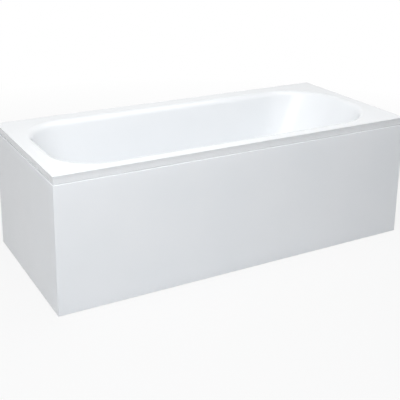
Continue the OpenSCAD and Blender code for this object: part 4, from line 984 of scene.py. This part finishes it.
flange = dict(z=0.1535, top=0.002, hubZ=-0.013, spoke=0.0015, tall=0.004, reach=(0.0074, 0.0212),
              spokes=(30, 150, 270))
dish = lathe(inMm((20.5, 0.2), (20.7, 0.6), (21.3, 1), (22.6, 1.6), (24.5, 2), (26, 2.05), (37.5, 2), (39.2, 1.7),
                  (40.3, 1.1), (41, 0.4), (40.9, 0), (23.5, 0), (23.5, -23.5), (23, -24), (21, -24),
                  (20.5, -23.5)), steps=128)
for v in dish.data.vertices:      # the top never stands above the flange's 2 mm
    v.co.z = min(v.co.z, flange["top"])
hub = lathe(inMm((4.05, 0.3), (4.3, 0), (7.7, 0), (8, 0.3), (8, 3.7), (7.7, 4), (4.3, 4), (4.05, 3.7)),
            at(0, 0, flange["hubZ"]), 64)
spokeOutline = rounded(rect(-flange["spoke"], 0, flange["spoke"], flange["tall"]), 0.0005)
spokes = [extruded(spokeOutline, *flange["reach"], at(0, 0, flange["hubZ"], turned("Z", a - 90)) @ crossways)
          for a in flange["spokes"]]
finishPiece(joined([dish, hub] + spokes, [at(drainX, midY, flange["z"])]), "drain_flange", "chrome", 40)

plug = dict(radius=33, low=0.8, edge=2, dome=2.4,
            rings=(0.1, 0.2, 0.3, 0.4, 0.5, 0.6, 0.7, 0.8, 0.88, 0.94, 0.97))
capTop = [(plug["radius"] * u, plug["low"] + plug["edge"] + plug["dome"] * (1 - u * u)) for u in plug["rings"]]
drainRings = (      # node, finish, sharp angle, body, height of its origin, steps, section
    ("plug_cap", "chrome", 40, "plug", 0.1555, 128,
     [(0, 5.2)] + capTop + [(32.85, 2.6), (33, 2.2), (33, 1.6), (32.8, 1.2), (32.4, 0.8), (9, 0.8), (9, -3.6),
                            (8.6, -4), (0, -4)]),
    ("plug_seal", "rubber", 50, "plug", 0.1555, 96,
     [(9.05, 0.8), (9.05, -2.5), (18.8, -2.5), (19.8, -2.1), (20.2, -1.4), (20.2, -0.6), (19.9, 0.2), (19.2, 0.8)]),
    ("plug_stem", "stainless", 35, "plug", 0.1177, 48,
     [(0, 0), (0.7, 0), (1, 0.2), (3.8, 1.9), (4, 2.3), (4, 33.7), (3.6, 33.8), (0, 33.8)]),
    ("drain_gasket", "rubber", 50, "bath", 0.152, 96,
     [(27.3, 0), (39.7, 0), (40, 0.3), (40, 1.2), (39.7, 1.5), (27.3, 1.5), (27, 1.2), (27, 0.3)]),
    ("drain_washer", "rubber", 50, "bath", 0.144, 96,
     [(27.4, 0), (37.4, 0), (37.9, 0.6), (38, 1.4), (38, 2.6), (37.9, 3.4), (37.4, 4), (27.4, 4), (27, 3.6),
      (27, 0.4)]),
)
for nodeName, finish, sharp, rides, z, steps, profile in drainRings:
    finishPiece(lathe(inMm(*profile), at(drainX, midY, z), steps), nodeName, finish, sharp, rides)

body = dict(flange=0.040, barrel=0.02905, tail=0.0225, bore=0.02355, tailBore=0.0185,
            z=(0.079, 0.096, 0.100, 0.140, 0.144), hollowTurn=1.3, inletStop=0.012, shaftStop=0.012,
            inletX=-0.545, inletZ=0.114, boss=0.0148, spigot=0.01154, spigotLength=0.016, spigotBore=0.0095,
            shaftX=-0.485, shaftZ=0.118, shaftBoss=0.0065, shaft=0.003, bossLength=0.035, bossFrom=0.005,
            lugX=(-0.518, -0.512), lug=(0.006, 0.012, 0.007), pullY=-0.057, wireZ=0.10229, wireHole=0.0013,
            wireReach=(-0.003, 0.010), shaftFit=0.00005)
zs, spigotLength, bossLength, wireZ = body["z"], body["spigotLength"], body["bossLength"], body["wireZ"]
inletLength = drainX - body["inletX"]
atInlet = at(body["inletX"], midY, body["inletZ"], turned("Y", 90))
atShaft = at(body["shaftX"], midY, body["shaftZ"], turned("X", -90))
atWire = at(body["lugX"][0], body["pullY"], wireZ, turned("Y", 90))
boss, spigot = body["boss"], body["spigot"]
barrel = latheRounded([(0.0, zs[0]), (body["tail"], zs[0]), (body["tail"], zs[1]), (body["barrel"], zs[1]),
                       (body["barrel"], zs[3]), (body["flange"], zs[3]), (body["flange"], zs[4]), (0.0, zs[4])],
                      [0, 0.0004, 0.0006, 0.002, 0.0015, 0.0006, 0.0006, 0], atDrain)
inlet = latheRounded([(0.0, -spigotLength), (spigot, -spigotLength), (spigot, 0), (boss, 0), (boss, inletLength),
                      (0.0, inletLength)], [0, 0.0008, 0.0004, 0.0006, 0, 0], atInlet, 64)
shaftBoss = latheRounded(rect(0.0, -bossLength, body["shaftBoss"], -body["bossFrom"]), [0, 0.0008, 0, 0], atShaft, 48)
lugOut, lugIn, lugHalf = body["lug"]
lugOutline = rounded(rect(body["pullY"] - lugOut, wireZ - lugHalf, midY - lugIn, wireZ + lugHalf),
                     [0.0045, 0.0003, 0.0003, 0.0045], 6)
cutOut(barrel, [inlet, shaftBoss, extruded(lugOutline, *body["lugX"], lengthways, 0.0006)], "UNION")
hollow = lathe([(0.0, zs[0] - over), (body["tailBore"], zs[0] - over), (body["tailBore"], zs[2]),
                (body["bore"], zs[2]), (body["bore"], zs[4] + over), (0.0, zs[4] + over)],
               at(drainX, midY, 0, turned("Z", body["hollowTurn"])))     # so that no edges meet the barrel's
cutOut(hollow, [rod(body["spigotBore"], -spigotLength - over, inletLength - body["inletStop"], atInlet, 48),
                rod(body["shaft"] + body["shaftFit"], -bossLength - over, -body["shaftStop"], atShaft, 32)],
       "UNION")
cutOut(barrel, [hollow, rod(body["wireHole"], *body["wireReach"], atWire, 24)])
finishPiece(barrel, "drain_body", "whitePlastic", 32)

# lever: a finger inside the body, a crank and its pin outside, on one shaft
lever = dict(half=15.466, finger=0.018, arm=0.0025, shaft=(-0.0424, 0.005), round=0.003, crank=0.016,
             crankY=(-0.042, -0.038), crankThin=(-0.0418, -0.0382), hub=0.005, tip=0.0035, pin=0.0015,
             pinOut=-0.049, edge=0.0004)
r, arm, crank = lever["round"], lever["arm"], lever["crank"]
leverParts = [rod(r, *lever["shaft"], turned("X", -90), 48),
              extruded(rounded(rect(-lever["finger"], -r, 0, r), [r, 0.0003, 0.0003, r], 8), -arm, arm,
                       crossways, lever["edge"]),
              extruded(rect(-arm, -crank, arm, 0), *lever["crankThin"], crossways),
              rod(lever["pin"], lever["pinOut"], lever["crankY"][1], at(0, 0, -crank, turned("X", -90)), 32)]
leverParts += [extruded(disc(radius, 9, z), *lever["crankY"], crossways, lever["edge"])
               for radius, z in ((lever["hub"], 0), (lever["tip"], -crank))]
atLever = at(body["shaftX"], midY, body["shaftZ"], turned("Y", -lever["half"]))
finishPiece(joined(leverParts, [atLever]), "lift_lever", "stainless", body="lever")

# end of the inner wire, seven strands laid round each other, swaged into a slotted eye
wire = dict(radius=0.0009, lay=0.009, x0=-0.517, pinX=-0.480733, eye=0.005, into=0.001, thick=0.001,
            slot=(0.00039, 0.0017), slotEdge=0.0001, steps=60)


def strands(angle, r, z):
    return r * (0.9 + 0.1 * abs(math.cos(3 * (angle - 2 * math.pi * z / wire["lay"])))) if r else r


wireEnd, thick = wire["pinX"] - wire["eye"] + wire["into"] - wire["x0"], wire["thick"]
wireProfile = [(wire["radius"], wireEnd * i / wire["steps"]) for i in range(wire["steps"] + 1)]
inner = lathe([(0.0, 0.0)] + wireProfile + [(0.0, wireEnd)],
              at(wire["x0"], body["pullY"], wireZ, turned("Y", 90)), 24, strands)
eye = extruded(disc(wire["eye"], 6), -thick, thick, crossways)
cutOut(eye, [extruded(stadium(*wire["slot"]), -3 * thick, 3 * thick, crossways, wire["slotEdge"])])
eye.data.transform(at(wire["pinX"], body["pullY"], wireZ))
finishPiece(joined([inner, eye]), "cable_pull", "stainless", body="cable_wire")
print("waste fitting ready")

# overflow

plate = dict(tall=0.0025, ring=(0.025, 0.033), hub=0.008, spoke=0.005, reach=(0.0062, 0.0262), screwY=0.019,
             spindle=0.00405)
plateScrew = dict(head=(0.003, 0.0016, 0.0034), shank=(0.0016, 0.0262, 0.0007), sink=0.0014, chamfer=0.0005)
tall = plate["tall"]
ringIn, ringOut = plate["ring"]
plateParts = [latheRounded(rect(ringIn, 0, ringOut, tall), [0.0002, 0.0002, 0.0008, 0.0006]),
              latheRounded(rect(plate["spindle"], 0, plate["hub"], tall), [0.0002, 0.0002, 0.0006, 0.0004],
                           steps=64)]
spokeOutline = rounded(rect(-plate["spoke"], 0, plate["spoke"], tall), [0.0002, 0.0002, 0.0006, 0.0006])
plateParts += [extruded(spokeOutline, *plate["reach"], turned("Z", 90 * k) @ crossways, 0.0002) for k in range(4)]
finishPiece(joined(plateParts, [atOverflow]), "overflow_flange", "chrome")

screwPlaces = [atOverflow @ at(0, s * plate["screwY"], tall + plateScrew["head"][1], turned("X", 180))
               for s in (-1, 1)]
finishPiece(screwsAt(screwPlaces, **plateScrew), "overflow_screws", "stainless", 40)

knob = dict(z=0.006, radius=0.036, edge=5, edgeAt=(31, 10.8), inside=0.0336, flutes=12, fluteRadius=0.006,
            fluteIn=0.0016, fluteZ=0.004, fluteFade=0.001)
knobProfile = [(4.05, -2), (4.05, 11), (0, 11), (0, 16), (10, 15.98), (20, 15.94), (27, 15.9), (29.5, 15.8)]
knobProfile += [(knob["edgeAt"][0] + knob["edge"] * sinD(a), knob["edgeAt"][1] + knob["edge"] * cosD(a))
                for a in range(10, 91, 10)]
knobProfile += [(36, 9), (36, 7), (36, 5), (36, 4.4), (36, 4), (36, 2), (35.9, 0.5), (35.6, 0.1), (35, 0),
                (33.9, 0), (33.5, 0.4), (33.5, 11), (33, 11.5), (7.4, 11.5), (7, 11.1), (7, -1.6), (6.6, -2)]


def fluted(angle, r, z):
    # each flute is a shallow scoop whose lower end fades out
    centre = knob["radius"] + knob["fluteRadius"] - knob["fluteIn"]
    offset = fromNearest(angle, knob["flutes"])
    sideways = centre * math.sin(offset)
    if r < knob["inside"] or z <= knob["fluteZ"] or abs(sideways) >= knob["fluteRadius"]:
        return r
    scoop = centre * math.cos(offset) - math.sqrt(knob["fluteRadius"] ** 2 - sideways ** 2)
    return min(r, mix(knob["radius"], scoop, min(1, (z - knob["fluteZ"]) / knob["fluteFade"])))


finishPiece(lathe(inMm(*knobProfile), atOverflow @ at(0, 0, knob["z"]), 288, fluted), "overflow_knob",
            "chrome", body="knob")
spindle = inMm((0, -46), (3.7, -46), (4, -45.7), (4, -42.1), (11.5, -42), (12, -41.5), (12, -40.2),
               (10.9, -39.5), (10.9, -38.5), (12, -37.8), (12, -36.5), (11.5, -36), (4, -35.9), (4, 15.6),
               (3.6, 16), (0, 16))
finishPiece(lathe(spindle, atOverflow, 64), "knob_spindle", "stainless", body="knob")
seal = inMm((27.7, -10), (36.6, -10), (37, -9.6), (37, -7.4), (36.6, -7), (27.7, -7), (27.5, -7.2), (27.5, -9.8))
finishPiece(lathe(seal, atOverflow), "overflow_seal", "rubber", 50)

cup = dict(flange=0.038, cup=0.027, wall=0.0025, z=(-0.047, -0.013, -0.010), spoutZ=-0.0285, spout=0.052,
           boreFrom=0.0165, floor=0.001, nippleX=0.011, nippleZ=-0.039, nipple=0.005, nippleBore=0.0013,
           nippleLength=0.038, pillar=0.0045)
cz, spout, wall = cup["z"], cup["spout"], cup["wall"]
atSpout = at(0, 0, cup["spoutZ"], turned("Y", 90))
atNipple = at(cup["nippleX"], 0, cup["nippleZ"], turned("X", 90))
cupBody = latheRounded([(0.0, cz[0]), (cup["cup"], cz[0]), (cup["cup"], cz[1]), (cup["flange"], cz[1]),
                        (cup["flange"], cz[2]), (0.0, cz[2])], [0, 0.003, 0.0015, 0.0006, 0.0006, 0],
                       cornerSteps=5)
spoutEnd = spout + spigotLength
spoutShape = latheRounded([(0.0, 0), (boss, 0), (boss, spout), (spigot, spout), (spigot, spoutEnd),
                           (0.0, spoutEnd)], [0, 0, 0.0006, 0.0004, 0.0008, 0], atSpout, 64)
nipple = latheRounded(rect(0.0, 0, cup["nipple"], cup["nippleLength"]), [0, 0, 0.0008, 0], atNipple, 40)
cutOut(cupBody, [spoutShape, nipple], "UNION")
hollow = rod(cup["cup"] - wall, cz[0] + wall, cz[2] + over)
cutOut(hollow, [rod(cup["pillar"], cz[0], cz[2] + 2 * over, at(0, s * plate["screwY"], 0), 32) for s in (-1, 1)])
cutOut(cupBody, [hollow, rod(body["spigotBore"], cup["boreFrom"], spoutEnd + over, atSpout, 48),
                 rod(plate["spindle"], cz[0] + cup["floor"], cz[2], steps=40),
                 rod(cup["nippleBore"], 0, cup["nippleLength"] + over, atNipple, 24)])
cupBody.data.transform(atOverflow)
finishPiece(cupBody, "overflow_body", "whitePlastic", 32)

# ribbed hose, its nuts and the cable

hose = dict(crest=0.015, root=0.013, mouth=0.0146, bore=0.012, ribs=64, perRib=8, ribShape=0.7, straight=0.030,
            pulls=(0.230, 0.140), sides=40, cuffTop=(0, 0.0006, 0.010, 0.020, 0.027),
            cuffEnd=(0.003, 0.010, 0.020, 0.0294, 0.030))
hoseDown = (atOverflow.to_3x3() @ Vector((1, 0, 0))).normalized()
hoseTop = atOverflow @ Vector((spout, 0, cup["spoutZ"]))
hoseEnd = Vector((body["inletX"], midY, body["inletZ"]))
first, last = hoseTop + hoseDown * hose["straight"], hoseEnd - Vector((hose["straight"], 0, 0))
hoseCurve = (first, first + hoseDown * hose["pulls"][0], last - Vector((hose["pulls"][1], 0, 0)), last)
hosePath = [hoseTop + hoseDown * d for d in hose["cuffTop"]]
hoseRadii = [hose["mouth"]] + [hose["crest"]] * 4
ringCount = hose["ribs"] * hose["perRib"]
for i in range(ringCount + 1):
    hosePath.append(bezier(hoseCurve, i / ringCount))
    crest = (0.5 + 0.5 * math.cos(2 * math.pi * i / hose["perRib"])) ** hose["ribShape"]
    hoseRadii.append(mix(hose["root"], hose["crest"], crest))
hosePath += [last + Vector((d, 0, 0)) for d in hose["cuffEnd"]]
hoseRadii += [hose["crest"]] * 4 + [hose["mouth"]]
finishPiece(swept(hosePath, hoseRadii, [hose["bore"]] * len(hosePath), hose["sides"], (0, 1, 0)),
            "overflow_hose", "hosePlastic", 60)

hoseNut = dict(radius=0.019, length=0.024, grips=10, onto=0.010,
               inside=inMm((15.7, 24), (15.3, 23.6), (15.3, 0.4), (15.7, 0)))
for end, place in (("top", atOverflow @ at(spout - hoseNut["onto"], 0, cup["spoutZ"], turned("Y", 90))),
                   ("bottom", at(body["inletX"] + hoseNut["onto"], midY, body["inletZ"], turned("Y", -90)))):
    nut = gripNut(hoseNut["radius"], hoseNut["length"], hoseNut["inside"], place, hoseNut["grips"])
    finishPiece(nut, "hose_nut_" + end, "whitePlastic", 30)

cable = dict(radius=0.0025, end=0.0022, bore=0.0013, closed=0.00002, open=0.0115, pulls=(0.070, 0.250),
             steps=150, sides=20)
cableTop = atOverflow @ Vector((cup["nippleX"], -cup["nippleLength"], cup["nippleZ"]))
cableEnd = Vector((body["lugX"][0], body["pullY"], wireZ))
cableCurve = (cableTop, cableTop - Vector((0, cable["pulls"][0], 0)),
              cableEnd - Vector((cable["pulls"][1], 0, 0)), cableEnd)
p = [bezier(cableCurve, i / cable["steps"]) for i in range(cable["steps"] + 1)]
cablePath = [p[0], p[0].lerp(p[1], 0.1)] + p[1:-1] + [p[-1].lerp(p[-2], 0.1), p[-1]]
cableRadii = [cable["end"]] + [cable["radius"]] * (len(cablePath) - 2) + [cable["end"]]
openRings = sum((point - cableEnd).length < cable["open"] for point in cablePath)
cableBore = [cable["closed"]] * (len(cablePath) - openRings) + [cable["bore"]] * openRings
finishPiece(swept(cablePath, cableRadii, cableBore, cable["sides"], (0.3, 0.2, 1)), "bowden_cable", "sheath", 50)
print("overflow, hose and cable ready")

# trap and outlet

trap = dict(radius=0.0215, bore=0.0185, bend=0.032, bendZ=0.061, inletZ=0.079, leadIn=(0.0786, 0.074, 0.066),
            outletZ=0.093, socketY=0.085, socket=(0.024, 0.02005), step=0.012, socketLength=0.034,
            intoSocket=0.006, collar=(0.0205, 0.025), collarTall=0.004, nutZ=0.072, outletNutY=0.107, grips=12,
            pipeY=0.0973)
bend, bendZ, outletZ, socketY = trap["bend"], trap["bendZ"], trap["outletZ"], trap["socketY"]
trapPath = [(midY, z) for z in (trap["inletZ"],) + trap["leadIn"]]
trapPath += [(midY + bend - bend * cosD(a), bendZ - bend * sinD(a)) for a in range(0, 180, 5)]
trapPath += [(socketY - bend * cosD(a), bendZ + bend * sinD(a)) for a in range(0, 91, 5)]
trapPath = [(drainX, y, z) for y, z in trapPath + [(socketY + trap["intoSocket"], outletZ)]]
count = len(trapPath)
(outer, inner), bore, length, step = trap["socket"], trap["bore"], trap["socketLength"], trap["step"]
trapParts = [swept(trapPath, [trap["radius"]] * count, [bore] * count, 64, (1, 0, 0)),
             latheRounded(rect(trap["collar"][0], 0, trap["collar"][1], trap["collarTall"]), 0.0008,
                          at(drainX, midY, trap["inletZ"] - trap["collarTall"])),
             latheRounded([(bore, 0), (outer, 0), (outer, length), (inner, length), (inner, step), (bore, step)],
                          [0.0003, 0.002, 0.0006, 0.0006, 0.0003, 0.0003],
                          at(drainX, socketY, outletZ, turned("X", -90)))]
finishPiece(joined(trapParts), "trap_bend", "whitePlastic", 32)

trapNuts = (      # node, radius, length, place, bore from the far end back in millimetres
    ("trap_nut", 0.0295, 0.018, at(drainX, midY, trap["nutZ"]),
     [(23.1, 18), (22.55, 17.5), (22.55, 7.5), (25.5, 7.4), (25.5, 3), (21.8, 3), (21.8, 0.3), (22.2, 0)]),
    ("outlet_nut", 0.0285, 0.022, at(drainX, trap["outletNutY"], outletZ, turned("X", -90)),
     [(20.8, 22), (20.3, 21.6), (20.3, 12), (24.05, 12), (24.05, 0.4), (24.5, 0)]),
)
for nodeName, radius, length, place, inside in trapNuts:
    finishPiece(gripNut(radius, length, inMm(*inside), place, trap["grips"]), nodeName, "whitePlastic", 30)
pipeCorners = inMm((18, 0), (20, 0), (20, 116.7), (21, 117.7), (21, 120.7), (20, 120.7), (20, 200.7),
                   (19, 202.7), (18, 202.7))
pipeRadii = [0.0003, 0.0003, 0.0004, 0.0004, 0.0004, 0.0003, 0.0006, 0.0003, 0.0003]
outletPipe = latheRounded(pipeCorners, pipeRadii, at(drainX, trap["pipeY"], outletZ, turned("X", -90)))
finishPiece(outletPipe, "outlet_pipe", "pipePlastic", 32)
print("trap and outlet ready")
